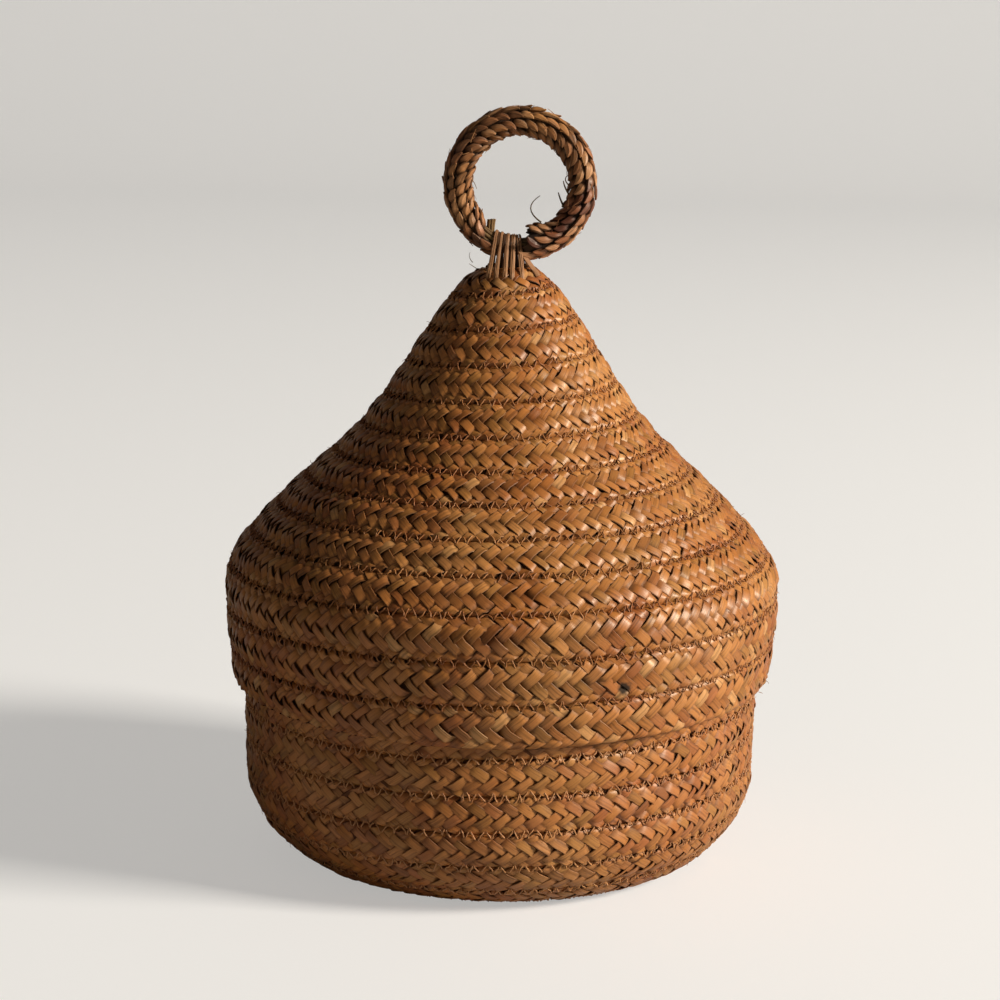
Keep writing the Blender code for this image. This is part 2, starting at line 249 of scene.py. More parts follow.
def base_outline():
    """Floor, then a corner whose two coordinates are a sine and a cosine raised to a power
    over 1 (a flatter bend than a circle's), then a wall that leans out a little."""
    reach, rise, power, lean = 16.5 * MM, 20.0 * MM, 2 / 1.6, 0.8 * MM
    foot = BASE_RADIUS - lean - reach
    turn = np.linspace(0.0, math.pi / 2, 25)
    corner = np.stack([foot + reach * np.sin(turn) ** power,
                       rise * (1 - np.clip(np.cos(turn), 0, 1) ** power)], 1)
    floor = np.stack([np.linspace(0.0, foot, 60), np.zeros(60)], 1)[:-1]
    up = np.linspace(0.0, 1.0, 40)[1:]
    wall = np.stack([BASE_RADIUS - lean * (1 - up), rise + (BASE_HEIGHT - rise) * up], 1)
    return np.vstack([floor, corner, wall])


# %% [markdown]
# A point of the wall is named by its length along the outline and its lift off the middle
# of the wall. The winding then names it by how many turns the plait has made and by its
# share of the row's width, 0 at the edge that was laid first and 1 at the other. That is
# the natural grid for weaving: every strand is a simple line on it.

# %% Wind a plait on a wall
PLAIT_START_WIDTH = 3.0 * MM
TAIL_TURNS = 0.75
FRONT_TURN = 0.75


class Plait:
    """A plait wound on a wall: turn and share give a point of its surface.

    A row's far edge moves on by one pitch a turn, and its near edge is the far edge of the
    turn before. From the front of the last turn on, the far edge runs level along the rim.
    way is 1 or -1 for the direction of the winding, and spacing is that of the strands
    along the plait, at its start and at its end.
    """

    def __init__(self, outline, start, row_width, start_turn, way, spacing, wide_rows=0,
                 spread=0.0):
        step = unit(np.gradient(outline, axis=0))
        side = 1.0 if outline[-1, 1] < outline[0, 1] else -1.0
        self.normal = np.stack([-step[:, 1], step[:, 0]], 1) * side
        self.outline = outline - self.normal * PLAIT_THICKNESS / 2
        steps = np.linalg.norm(np.diff(self.outline, axis=0), axis=1)
        self.length = np.concatenate([[0.0], np.cumsum(steps)])
        self.start, self.start_turn, self.way, self.spacing = start, start_turn, way, spacing
        self.wide_rows, self.spread = wide_rows, spread
        reach = self.length[-1] - start - PLAIT_START_WIDTH - wide_rows * spread
        at_front = (FRONT_TURN - start_turn) * way % 1.0
        self.rows = max(2, round(reach / row_width - at_front)) + at_front
        self.pitch = reach / self.rows
        self.turns = self.rows + TAIL_TURNS
        turn = np.linspace(0.0, self.turns, 6000)
        middle = self.point(turn, 0.5, 0.0)
        self.table = (run_length(middle[None])[0], turn)

    def far_edge(self, turn):
        """Length along the wall of a row's far edge: the pitch times the turn, level from
        the front of the last turn on, and spread over the last, wider rows."""
        level = np.minimum(turn, self.rows)
        wider = self.spread * np.maximum(level - (self.rows - self.wide_rows), 0.0)
        return self.start + PLAIT_START_WIDTH + self.pitch * level + wider

    def edges(self, turn):
        """Lengths along the wall of a row's two edges. In the first turn the near edge stays
        at the start, and moves out smoothly over its last quarter to meet the second."""
        blend = np.clip((turn - 1.0) / 0.25 + 1.0, 0.0, 1.0)
        first = self.start + PLAIT_START_WIDTH * blend**2 * (3 - 2 * blend)
        return np.where(turn < 1.0, first, self.far_edge(turn - 1.0)), self.far_edge(turn)

    def at(self, turn, length, lift):
        """A point by its turn, its length along the wall and its lift."""
        radius, z = (np.interp(length, self.length, self.outline[:, k])
                     + np.interp(length, self.length, self.normal[:, k]) * lift for k in (0, 1))
        angle = 2 * math.pi * (self.start_turn + self.way * turn)
        return np.stack([radius * np.cos(angle), radius * np.sin(angle), z], -1)

    def point(self, turn, share, lift):
        """A point by its turn, its share of the row's width and its lift."""
        near, far = self.edges(turn)
        return self.at(turn, near + (far - near) * share, lift)

    def turn_at(self, distance):
        """The turn at a distance along the plait's middle line."""
        return np.interp(distance, *self.table)

    def pace(self, number):
        """The distance at a strand's number. The spacing of the strands grows evenly from
        first to last, so this is first / growth * (e to the power growth * number, less 1)."""
        first, last = self.spacing
        growth = (last - first) / self.table[0][-1]
        return first / growth * np.expm1(growth * number)

    def strand_count(self):
        """The number at which the pace reaches the plait's end."""
        first, last = self.spacing
        return math.log(last / first) * self.table[0][-1] / (last - first)


# %% [markdown]
# The base is wound from the middle of its floor, and the lid from the hole in its tip, the
# other way round. The number of rows follows from the row widths of the photograph. It is
# rounded so that the last row starts to run level just at the front, and the widths then
# change a little to fill the wall. The lid's last three rows are 1 mm wider each.

# %% Wind the base and the lid
base = Plait(base_outline(), start=0.6 * MM, row_width=9.3 * MM, start_turn=14 / 24, way=1,
             spacing=(3.6 * MM, 4.3 * MM))
lid = Plait(smooth_outline(LID_POINTS) + (0.0, LID_RIM_HEIGHT), start=0.0, row_width=10.0 * MM,
            start_turn=9 / 24, way=-1, spacing=(2.8 * MM, 3.9 * MM), wide_rows=3,
            spread=1.0 * MM)
for name, plait in (("base", base), ("lid", lid)):
    print(f"{name}: {plait.turns:.1f} turns, rows {plait.pitch / MM:.1f} mm wide, "
          f"{plait.table[0][-1]:.2f} m of plait")

# %% [markdown]
# ## Weaving the plait
#
# In a flat plait of seven strands, each strand slants across the row, folds at the edge
# and slants back. It goes over and under the strands that cross it, two at a time. The
# crossings lie on six lines along the row, at 1/7 to 6/7 of its width. Strands that rise
# to the right lie on top at lines 2, 3 and 6, and the falling ones at lines 1, 4 and 5,
# which draws the arrowheads that point along each row.
#
# Texture or bump could fake this, but the light comes from the side and each strand casts
# a shadow. So each pass across the row is a real ribbon. Its height follows the weave:
# a sum of smooth steps that switches between over and under. Two more curves act on every
# pass: it comes down to the wall where it folds, and the whole row is an arch whose two
# edges are pulled in by the sewing.

# %% Shape a pass across the row
STRANDS = 7
LINES = np.array([0.0, 0.2, 0.5, 0.85, 1.2, 1.5, 1.8, 2.15, 2.85, 3.2, 3.5, 3.8, 4.15, 4.85,
                  5.2, 5.5, 5.8, 6.15, 6.5, 6.8, 7.0])
ROW_CROWN = 0.36 * MM
ROW_DIP = 0.72 * MM


def over_under(line):
    """+1 where a falling strand is on top, -1 where it is below: smooth steps at 1.5, 3.5
    and 5.5 lines."""
    return (np.tanh((line - 3.5) / 0.32) - np.tanh((line - 1.5) / 0.32)
            - np.tanh((line - 5.5) / 0.32))


def fold_fade(line):
    """1 over most of the row, and down to 0 at the folds on its two edges."""
    return np.clip(line / 0.6, 0, 1) * np.clip((STRANDS - line) / 0.6, 0, 1)


def row_swell(share):
    """Lift of the row's middle over its sewn edges: a flat-topped arch."""
    return ROW_CROWN - (ROW_CROWN + ROW_DIP) * np.abs(2 * share - 1) ** 5


falling_on_top = np.flatnonzero(over_under(np.arange(1.0, STRANDS)) > 0) + 1
print("falling strands lie on top at lines", falling_on_top.tolist())

# %% [markdown]
# Hand work is never even. Each pass starts a little early or late, wanders sideways, rises
# a little more or less, and some strands have split and lost a quarter of their width. All
# of that is drawn from a random generator with a fixed seed, so the box is the same each
# time. The rows lap over each other at the seams, and the last row, the tail, laps more
# the nearer it comes to its end, so that its seam stays closed.

# %% Find where the passes go
START_JITTER = 0.09
WANDER = 0.05
SEAM_LAP = 0.22 * MM
TAIL_LAP = 0.9 * MM


def passes(plait, rising, rng, first_turn, last_turn):
    """Numbers and turns[pass, station] of the passes of one slant between two turns.

    Pass j starts at the pace of j and ends at that of j + 3.5, at the row's other edge. The
    falling ones run backwards, half a spacing later.
    """
    number = np.arange(math.ceil(plait.strand_count()) + 4) - 4
    share = LINES / STRANDS
    begin = number + (0.0 if rising else 0.5) + rng.normal(0, START_JITTER, len(number))
    run = plait.pace(begin[:, None] + STRANDS / 2 * (share if rising else 1 - share))
    turn = plait.turn_at(run)
    kept = (turn.mean(1) >= first_turn) & (turn.mean(1) < last_turn) & (np.ptp(turn, axis=1) > 0)
    kept &= np.median(turn, axis=1) < plait.turns
    return number[kept], turn[kept]


def lie_on_row(plait, turn, rising, rise, rng):
    """Share of the row's width and lift off the wall at each station.

    Share = line / 7, wandering a little and stretched about the middle by the seam's lap.
    Lift = the row's arch, plus or less rise * over_under. Then the tail's lap moves the
    near edge out over the row before, and the far edge not at all.
    """
    near, far = plait.edges(turn)
    width = far - near
    tail = np.clip(turn - plait.rows, 0, 1) * TAIL_LAP / width
    wander = rng.normal(0, WANDER, turn.shape) / STRANDS
    share = 0.5 + (LINES / STRANDS + wander - 0.5) * (1 + 2 * SEAM_LAP / width)
    height = rise * rng.uniform(0.8, 1.2, (len(turn), 1)) * over_under(LINES)
    height = height * fold_fade(LINES)
    lift = row_swell(share) + (-height if rising else height)
    return share - tail * (1 - share), lift


# %% [markdown]
# A strand fills the room that its slant leaves between its neighbours, and where it lies
# under the others it spreads, so that no light comes through the wall. At the row's edge
# it folds over. A real fold is a tight bend in the leaf. Here the strand ends there, and
# its section is turned from square until it lies along the row, beside the end of the
# strand that carries on from it.

# %% Give the passes width, folds and colour
SPREAD_UNDER = 0.30
SPLIT_SHARE = 0.08
SPLIT_LOSS = 0.26
FOLD_LINES = 1.5
PASSES_TO_SPLICE = 63


def strand_width(plait, number, turn, lap, under, rng):
    """Half width of each strand, and the room it has: spacing * width / hypot(width,
    3.5 spacings), widened by the lap."""
    near, far = plait.edges(turn)
    spacing = (plait.pace(number + 2.25) - plait.pace(number + 1.25))[:, None]
    room = spacing * (far - near) / np.hypot(far - near, STRANDS / 2 * spacing)
    split = rng.random((len(turn), 1)) < SPLIT_SHARE
    half = rng.uniform(0.90, 1.04, (len(turn), 1)) * (1 - SPLIT_LOSS * split)
    return room / 2 * lap * (half + SPREAD_UNDER * under), room


def fold_side(plait, turn, share, lift, path, normal):
    """Direction across the strand: square to it over the row, and along the row at the
    folds, lengthened there so that the strand keeps its width."""
    square = unit(np.cross(normal, np.gradient(path, axis=1)))
    along = unit(plait.point(turn + 0.001, share, lift) - path)
    lean = np.sum(along * square, axis=-1, keepdims=True)
    along = along * np.sign(lean.mean(1, keepdims=True)) / np.clip(np.abs(lean), 0.4, 1.0)
    folded = np.clip(1 - np.minimum(LINES, STRANDS - LINES) / FOLD_LINES, 0, 1)[:, None]
    return square * (1 - folded) + along * folded


def strand_tone(number, rising, seed, rng):
    """A tone from 0 to 1 for each pass: partly its own, and partly that of the strand it
    belongs to, which is spliced every 63 passes. The strand's tone is the fraction of a
    large sine, which is as good as random and needs no table."""
    strand = (number if rising else number - 3) % STRANDS
    spliced = (number + 11 * strand) // PASSES_TO_SPLICE
    tone = (np.sin(strand * 12.9898 + spliced * 78.233 + seed) * 43758.5453) % 1.0
    return (0.6 * tone + 0.4 * rng.random(len(number))) % 1.0


# %% [markdown]
# Now the passes are woven. The depth in the weave that the material reads is 0 on the side of a
# strand that shows and 1 on the hidden one, and the material paints shade by it. It grows towards
# the seams, on some strands more than on others, as painted shade in the seams' creases.
#
# The base and the lid differ a little: `pull` holds how far the strands lap over each other
# and how high they rise over the ones they cross. The lid's plait is looser and bulges
# more. Each wall is made in two or three parts, which only keeps each mesh to a handy size.

# %% Weave the strands
HALF_THICKNESS = 0.23 * MM
TILT = 0.09
TILT_JITTER = 0.12


def weave(name, plait, rising, seed, pull, first_turn=0.0, last_turn=99.0):
    """All the passes of one slant between two turns, as one piece."""
    rng = np.random.default_rng(seed)
    lap, rise = pull
    number, turn = passes(plait, rising, rng, first_turn, last_turn)
    share, lift = lie_on_row(plait, turn, rising, rise, rng)
    path = plait.point(turn, share, lift)
    normal = path - plait.point(turn, share, lift - 0.2 * MM)
    under = 0.5 + over_under(LINES) * (0.5 if rising else -0.5)
    half, room = strand_width(plait, number, turn, lap, under, rng)
    side = fold_side(plait, turn, share, lift, path, normal)
    roll = TILT + rng.normal(0, TILT_JITTER, len(turn))
    tone = strand_tone(number, rising, seed, rng)
    # The depth is painted shade: dark where a strand lies under the others, and towards the
    # seams.
    depth = np.where(FLAT[0][:, 1] > -0.5, under[:, None], 1 - under[:, None])
    seam_shade = rng.uniform(0.3, 1.0, (len(turn), 1, 1))
    depth = np.maximum(depth, seam_shade * np.abs(2 * LINES[:, None] / STRANDS - 1) ** 16)
    return lay(name, path, normal, FLAT, half, HALF_THICKNESS * room / room.max(), tone, roll,
               side, depth)


BASE_PULL = (1.20, 0.34 * MM)
LID_PULL = (1.13, 0.52 * MM)
FLOOR_TURNS = 5.6
FOOT_TURNS = 10.2
CONE_TURNS = 8.4
base_floor = [
    weave("base_floor_rising_strands", base, True, 3, BASE_PULL, 0.0, FLOOR_TURNS),
    weave("base_floor_falling_strands", base, False, 4, BASE_PULL, 0.0, FLOOR_TURNS),
]
base_wall = [
    weave("base_foot_rising_strands", base, True, 5, BASE_PULL, FLOOR_TURNS, FOOT_TURNS),
    weave("base_foot_falling_strands", base, False, 6, BASE_PULL, FLOOR_TURNS, FOOT_TURNS),
    weave("base_wall_rising_strands", base, True, 15, BASE_PULL, FOOT_TURNS),
    weave("base_wall_falling_strands", base, False, 16, BASE_PULL, FOOT_TURNS),
]
lid_strands = [
    weave("lid_cone_rising_strands", lid, True, 7, LID_PULL, 0.0, CONE_TURNS),
    weave("lid_cone_falling_strands", lid, False, 8, LID_PULL, 0.0, CONE_TURNS),
    weave("lid_cuff_rising_strands", lid, True, 9, LID_PULL, CONE_TURNS),
    weave("lid_cuff_falling_strands", lid, False, 10, LID_PULL, CONE_TURNS),
]

# %% [markdown]
# ## The sewing
#
# The rows are sewn together with a thread split from the same leaf. It zigzags across the
# seam on the outside and again on the inside, and at each point of the zigzag it goes
# down between the strands. Along the seam this is a triangle wave, with a dip at its
# points, and no two stitches by hand are quite alike, so each one has its own length,
# reach and drift. These are drawn at the wave's points, its knots, and change evenly from
# one to the next.

# %% Sew the seams
STITCH = 3.0 * MM
THREAD_RADIUS = 0.18 * MM
FIRST_ROW = 70 * MM
THREAD_LEVEL = 0.50 * MM
THREAD_RISE = 0.46 * MM
THREAD_DIP = 1.05 * MM
INSIDE_SINK = 0.35 * MM


def sew(name, plait, side, seed, first_turn, samples):
    """A zigzag thread along the seam between the rows.

    Offset across the seam = the triangle wave of the stitch count, times the reach, plus
    the drift. Lift = a level over the strands, plus a rise with the wave's size, less a dip
    that grows with its tenth power, so that only the points go down. The first stitches are
    two thirds as long. side is +1 outside and -1 inside.
    """
    rng = np.random.default_rng(seed)
    seam_turn = np.linspace(first_turn, plait.turns - 1.0, 9000)
    seam = plait.at(seam_turn, plait.far_edge(seam_turn), 0.0)
    distance = run_length(seam[None])[0]
    distance = distance + 0.5 * FIRST_ROW * (1 - np.exp(-distance / FIRST_ROW))
    count = int(distance[-1] / STITCH)
    phase = np.arange(count * samples + 1) / samples
    knots = np.arange(2 * count + 2)

    def by_hand(draw, *limits):
        """A value drawn at each knot, read at each station."""
        return np.interp(phase * 2, knots, draw(*limits, len(knots)))

    turn = np.interp((phase + by_hand(rng.normal, 0, 0.17)) * STITCH, distance, seam_turn)
    wave = 2 / math.pi * np.arcsin(np.sin(2 * math.pi * phase))
    reach = by_hand(rng.uniform, 0.75, 1.85) * MM
    drift = by_hand(rng.normal, 0, 0.28) * MM
    level = THREAD_LEVEL + by_hand(rng.uniform, -0.06, 0.14) * MM
    size = np.abs(wave)
    lift = side * (level + THREAD_RISE * size - THREAD_DIP * size**10)
    if side < 0:
        lift -= INSIDE_SINK
    path = plait.at(turn, plait.far_edge(turn) + wave * reach + drift, lift)[None]
    normal = path - plait.at(turn, plait.far_edge(turn), lift - 5 * MM)[None]
    return lay(name, path, normal, rod(5 if side > 0 else 4), THREAD_RADIUS, THREAD_RADIUS,
               [0.5], smooth_angle=80.0)


base_thread = [sew("base_sewing_outside", base, 1, 11, 0.5, 8),
               sew("base_sewing_inside", base, -1, 12, 0.5, 6)]
lid_thread = [sew("lid_sewing_outside", lid, 1, 13, 0.3, 8),
              sew("lid_sewing_inside", lid, -1, 14, 0.5, 6)]

# %% [markdown]
# ## The ring handle
#
# The handle is a sleeve of strands plaited round a bundle of grass and bent to a
# ring. From the front it shows chains of leaf-shaped floats, which all lean inwards, with
# dark grooves between the chains. Each float is the part of a strand that lies on top. The
# rest is hidden in the sleeve, so each float is made by itself, as a short arched strand
# whose tail dives under the float before it. The strands that cross them stay underneath
# and are whole: on a straight rope each would be a helix, so here it is a helix about the
# ring's middle line, and its angle about the line changes evenly with the distance along it.

# %% Describe the ring
RING_RADIUS = 15.85 * MM
RING_SEAT = np.array([2.8, 0.0, 157.25]) * MM
RING_CENTRE = RING_SEAT + (0.0, 0.0, RING_RADIUS)


def ring_angle(x):
    """The angle at the ring's centre of the point of its lower half that has this x."""
    return math.asin((x - RING_CENTRE[0]) / RING_RADIUS) - math.pi / 2


SLEEVE_END_LEFT = ring_angle(-5.7 * MM)
SLEEVE_END_RIGHT = ring_angle(4.4 * MM)
SLEEVE_LENGTH = RING_RADIUS * (2 * math.pi + SLEEVE_END_LEFT - SLEEVE_END_RIGHT)
print(f"sleeve: {SLEEVE_LENGTH / MM:.0f} mm long")


def ring_frame(distance):
    """The middle line, clockwise as seen from the front, from the sleeve's left end.

    Returns the point at a distance along it and the direction away from the centre.
    """
    angle = SLEEVE_END_LEFT - distance / RING_RADIUS
    outwards = np.stack([np.cos(angle), np.zeros_like(angle), np.sin(angle)], -1)
    return RING_CENTRE + RING_RADIUS * outwards, outwards


def on_ring(distance, turn, radius):
    """A point at a turn about the middle line, 0 on the ring's outside and a quarter turn
    at the front, and the direction from the line to it."""
    middle, outwards = ring_frame(distance)
    angle = 2 * math.pi * turn[..., None]
    away = outwards * np.cos(angle) + np.array([0.0, -1.0, 0.0]) * np.sin(angle)
    return middle + away * np.asarray(radius)[..., None], away


# %% [markdown]
# The sleeve's two ends are cut ragged and at a slant: the left end runs from the ring's
# inner side, over its front, to its outside, and the right end stands a little open. A
# float is like a scale, with its tail tucked in and its tip lifted, and its two flanks are
# unlike: one edge runs nearly straight, and the other curves in to the tip.

# %% Cut the sleeve
SLEEVE_CHAINS = 8
FLOAT_PITCH = 2.9 * MM
FLOAT_LENGTH = 4.7 * MM
FLOAT_HALF_WIDTH = 1.06 * MM
FLOAT_HALF_THICKNESS = 0.50 * MM
FLOAT_CREST = 3.30 * MM
FLOAT_RADIUS = 3.4 * MM
FLOAT_LEAN = math.radians(17)
TAIL_TUCK = 1.3
CHAIN_STAGGER = 0.45
SLANT_LEFT = np.array([5.0, 0.0, -3.2]) * MM
SLANT_RIGHT = 1.6 * MM
FLARE = 1.8 * MM
ARCH = ribbon((1.0, -0.7), (0.90, 0.35), (0.25, 0.90), (-0.80, 0.70), (-1.0, -0.6), (0.0, -0.9))


def left_end(slant):
    """Where the sleeve's left end is cut, for slant = the cosine of the turn about the
    middle line: -1 on the inner side, 0 at the front and 1 on the outside."""
    return np.interp(slant, (-1, 0, 1), SLANT_LEFT)


def flare(distance, turn):
    """How far the sleeve's right end stands open on the ring's inner side."""
    rise = np.clip((distance - SLEEVE_LENGTH + 11 * MM) / (9 * MM), 0, 1)
    return FLARE * rise**2 * (3 - 2 * rise) * (0.5 - 0.5 * np.cos(2 * math.pi * turn))


print(f"{SLEEVE_CHAINS} chains of about {SLEEVE_LENGTH / FLOAT_PITCH:.0f} floats")

# %% [markdown]
# Each chain is shifted a little along the ring against the one beside it. A float's length,
# lean, width and height are drawn from the generator, and a float whose middle would lie
# past a cut is left out.

# %% Lay the floats
FLOAT_STATIONS = np.array([-1.0, -0.75, -0.5, -0.25, 0.0, 0.3, 0.6, 0.82, 0.95, 1.0])


def sleeve_floats(name, seed):
    """The leaf-shaped floats of all chains, each a short strand that leans across its chain.

    With t from -1 to 1 along a float: distance = its centre + t * half the length * cosine
    of the lean, and the turn grows with the sine. The radius rises from under the float
    before and goes on rising to the tip, as on a scale. The half width tapers bluntly to the
    tail and to a narrow end at the tip, and the middle line moves over by about half of what
    it has lost.
    """
    rng = np.random.default_rng(seed)
    per_chain = int(SLEEVE_LENGTH / FLOAT_PITCH) + 4
    chain, number = np.divmod(np.arange(SLEEVE_CHAINS * per_chain), per_chain)
    place = chain / SLEEVE_CHAINS + 0.03
    centre = (number - 1 + CHAIN_STAGGER * chain % 1.0) * FLOAT_PITCH
    centre = centre + rng.normal(0, 0.16, len(chain)) * MM
    slant = np.cos(2 * math.pi * place)
    kept = ((centre > left_end(slant) - 0.4 * MM)
            & (centre < SLEEVE_LENGTH - 0.9 * MM + SLANT_RIGHT * slant))
    place, centre = place[kept, None], centre[kept, None]
    count = len(place)
    t = FLOAT_STATIONS[None]
    lean = FLOAT_LEAN + rng.normal(0, 0.10, (count, 1))
    half_length = FLOAT_LENGTH / 2 * rng.uniform(0.88, 1.12, (count, 1))
    distance = centre + t * half_length * np.cos(lean)
    crest = FLOAT_CREST + rng.uniform(-0.24, 0.24, (count, 1)) * MM
    flick = rng.uniform(0.25, 0.70, (count, 1))
    turn = place + t * half_length * np.sin(lean) / (2 * math.pi * FLOAT_RADIUS)
    radius = crest - (np.where(t < 0, TAIL_TUCK, -flick) * np.abs(t) ** 1.5) * MM
    radius = radius + flare(distance, turn)
    tail, tip = np.clip(-t, 0, 1), np.clip(t, 0, 1)
    half = FLOAT_HALF_WIDTH * (1 - tail**3) ** 0.6 * (1 - 0.88 * tip**2)
    half = np.maximum(half * rng.uniform(0.84, 1.06, (count, 1)), 0.05 * MM)
    path, away = on_ring(distance, turn, radius)
    across = unit(np.cross(away, np.gradient(path, axis=1)))
    lost = half.max(axis=1, keepdims=True) - half
    path = path - across * (0.55 * np.sign(t) * lost)[..., None]
    high = FLOAT_HALF_THICKNESS * (half / half.max()) ** 0.4
    roll = rng.normal(0.2, 0.20, count)
    # The tail's depth paints shade where it dives under the float before.
    depth = np.clip(-t * 1.4 - 0.15, 0, 1)[..., None]
    return lay(name, path, away, ARCH, half, high, rng.random(count), roll, depth=depth,
               smooth_angle=24.0)


# %% [markdown]
# Under the floats the crossing strands make the sleeve's wall. They show in the grooves between
# the chains and at the two cut ends, where each one ends a little sooner or later. Their whole
# length is painted in the ring's dark colour, as painted shade in the grooves.

# %% Lay the crossing strands
LINING_STRANDS = 12
LINING_RADIUS = 2.45 * MM
LINING_LEAD = 44 * MM


def sleeve_lining(name, seed):
    """Helices about the ring's middle line: turn = start - distance / lead."""
    rng = np.random.default_rng(seed)
    start = np.arange(LINING_STRANDS)[:, None] / LINING_STRANDS
    slant = np.cos(2 * math.pi * start)
    ends = np.hstack([left_end(slant), SLANT_RIGHT * slant])
    ends = ends + rng.uniform((0.0, -0.4), (0.8, 0.4), (LINING_STRANDS, 2)) * MM
    t = np.linspace(0.0, 1.0, 90)[None]
    distance = ends[:, :1] * (1 - t) + (SLEEVE_LENGTH + ends[:, 1:]) * t
    turn = start - (distance - ends[:, :1] * (1 - t)) / LINING_LEAD
    path, away = on_ring(distance, turn, LINING_RADIUS + flare(distance, turn))
    # Depth 1 paints the crossing strands all over in the ring's dark colour, as painted shade.
    return lay(name, path, away, FLAT, 0.95 * MM, 0.17 * MM, rng.random(LINING_STRANDS),
               depth=1.0)


handle_sleeve = [sleeve_floats("handle_leaning_strands", 21),
                 sleeve_lining("handle_crossing_strands", 22)]

# %% [markdown]
# The core shows only between the sleeve's two cut ends, under the lashing, and where a few
# stalks stand up at the left. It is a bundle of thin dry stalks laid along the ring, a
# middle one and two rings of them round it, with a slow twist.

# %% Lay the grass core
CORE_TWIST = 150 * MM
STALK_RINGS = ((1, 0.0, 0.0), (6, 0.90 * MM, 0.0), (12, 1.80 * MM, 0.04))
STUB_FOOT = np.array([-4.55, 0.0, 158.8]) * MM
STUB_STALKS = 7


def grass_core(name, seed):
    """Stalks at fixed places of the rope's section, turned slowly along it, from one side
    of a small gap round to the other."""
    rng = np.random.default_rng(seed)
    place = np.concatenate([np.arange(count) / count + first for count, _, first in STALK_RINGS])
    out = np.concatenate([np.full(count, radius) for count, radius, _ in STALK_RINGS])
    full = 2 * math.pi * RING_RADIUS
    begin = RING_RADIUS * (SLEEVE_END_LEFT - ring_angle(0.0))
    ends = rng.uniform(0.2, 0.9, (len(place), 2)) * MM
    t = np.linspace(0.0, 1.0, 90)[None]
    distance = begin + ends[:, :1] + (full - ends.sum(1, keepdims=True)) * t
    turn = place[:, None] + distance / CORE_TWIST
    path, away = on_ring(distance, turn, np.broadcast_to(out[:, None], distance.shape))
    radius = rng.uniform(0.42, 0.50, (len(place), 1)) * MM
    return lay(name, path, away, rod(6), radius, radius, rng.random(len(place)),
               smooth_angle=80.0)


def core_stub(name, seed):
    """Upright stalks, six round a seventh, whose cut ends stand out of the sleeve's end."""
    rng = np.random.default_rng(seed)
    stalk = np.arange(STUB_STALKS)
    turn = 2 * math.pi * stalk / (STUB_STALKS - 1)
    out = np.where(stalk < STUB_STALKS - 1, 0.62, 0.0) * MM
    foot = STUB_FOOT + np.stack([out * np.cos(turn), out * np.sin(turn), 0.0 * turn], -1)
    rise = np.stack([rng.normal(0.15, 0.15, STUB_STALKS), rng.normal(0, 0.15, STUB_STALKS),
                     rng.uniform(5.0, 5.6, STUB_STALKS)], -1) * MM
    t = np.linspace(0.0, 1.0, 6)[None, :, None]
    path = foot[:, None] + rise[:, None] * t + np.array([-0.5, 0.0, 0.0]) * MM * (t - t**2)
    normal = np.broadcast_to([0.0, -1.0, 0.0], path.shape)
    return lay(name, path, normal, rod(6), 0.36 * MM, 0.33 * MM, rng.random(STUB_STALKS),
               smooth_angle=80.0)


handle_core = [grass_core("handle_grass_core", 23), core_stub("handle_grass_stub", 24)]

# %% [markdown]
# ## The lashing
#
# Five loops of raffia pass over the bare core and through the lid's top row. Each loop is a
# closed line in a plane across the ring: round the top of the core, down along the crown of the
# lid, in through the slit and back underneath. The loops stand closer at the top than at the
# foot. The raffia splits as it is pulled tight, so each loop is three fibres that wander a little
# beside each other. A second winding goes straight down through the hole in the lid's tip, in
# darker colours that are painted shade.

# %% Draw one loop of the lashing
LASHING_FOOT_RADIUS = 9.8 * MM
STRAIGHT_DROP = np.array([(2.9, 153.5), (3.1, 150.5), (2.9, 147.5), (2.3, 145.5),
                          (1.2, 144.6)]) * MM
CURVE_STEPS = 24


def lid_crown(radius, lift):
    """Radius and height of a point at a lift over the tip row's outside."""
    k = np.argmin(np.abs(lid.outline[:, 0] + lid.normal[:, 0] * PLAIT_THICKNESS / 2 - radius))
    return lid.outline[k] + lid.normal[k] * (PLAIT_THICKNESS / 2 + lift)


def loop_outline(over, foot, straight):
    """A loop seen from the side, as (y, z): a quarter circle over the core, then points down
    to the loop's foot and in under the ring, and the same mirrored. A smooth curve goes
    through them all and closes on itself."""
    quarter = np.array([0.0, math.pi / 4, math.pi / 2])
    half = np.stack([over * np.sin(quarter), RING_SEAT[2] + over * np.cos(quarter)], 1)
    if straight:
        half = np.vstack([half, STRAIGHT_DROP])
    else:
        half = np.vstack([
            half, lid_crown(6.9 * MM, 0.4 * MM), lid_crown(8.6 * MM, 0.5 * MM), foot,
            foot - (3.6 * MM, 0.8 * MM), (LASHING_FOOT_RADIUS / 3, foot[1] - 5 * MM),
        ])
    outline = np.vstack([half, (0.0, half[-1, 1]), half[:0:-1] * (-1, 1)])
    closed = smooth_outline(np.vstack([outline[-2:], outline, outline[:3]]), CURVE_STEPS)
    return closed[2 * CURVE_STEPS:(2 + len(outline)) * CURVE_STEPS + 1]


# %% [markdown]
# The winding is one unbroken strand. It runs round the loop's outline once for each loop,
# and meanwhile moves sideways from the place of a loop's top to that of its foot, and on
# the back to the next one. The rope bends up to both sides of its lowest point, so the
# loops' tops follow it.

# %% Wind the lashing
LOOP_TOPS = np.array([-2.85, -1.50, 0.00, 1.40, 2.65]) * MM
LOOP_FEET = np.array([-5.10, -3.00, -0.75, 1.15, 3.85]) * MM
BACK_SHIFT = 0.8 * MM
CORNERS_TO_FOOT = 5
FIBRE_PLACES = np.array([-0.34, 0.0, 0.34])[:, None] * MM
FIBRE_LIFTS = np.array([0.0, 0.12, 0.04])[:, None, None] * MM
FIBRE_HALF_WIDTHS = np.array([0.24, 0.17, 0.22])[:, None] * MM
FIBRE_ROLLS = np.array([0.35, -0.2, -0.4])


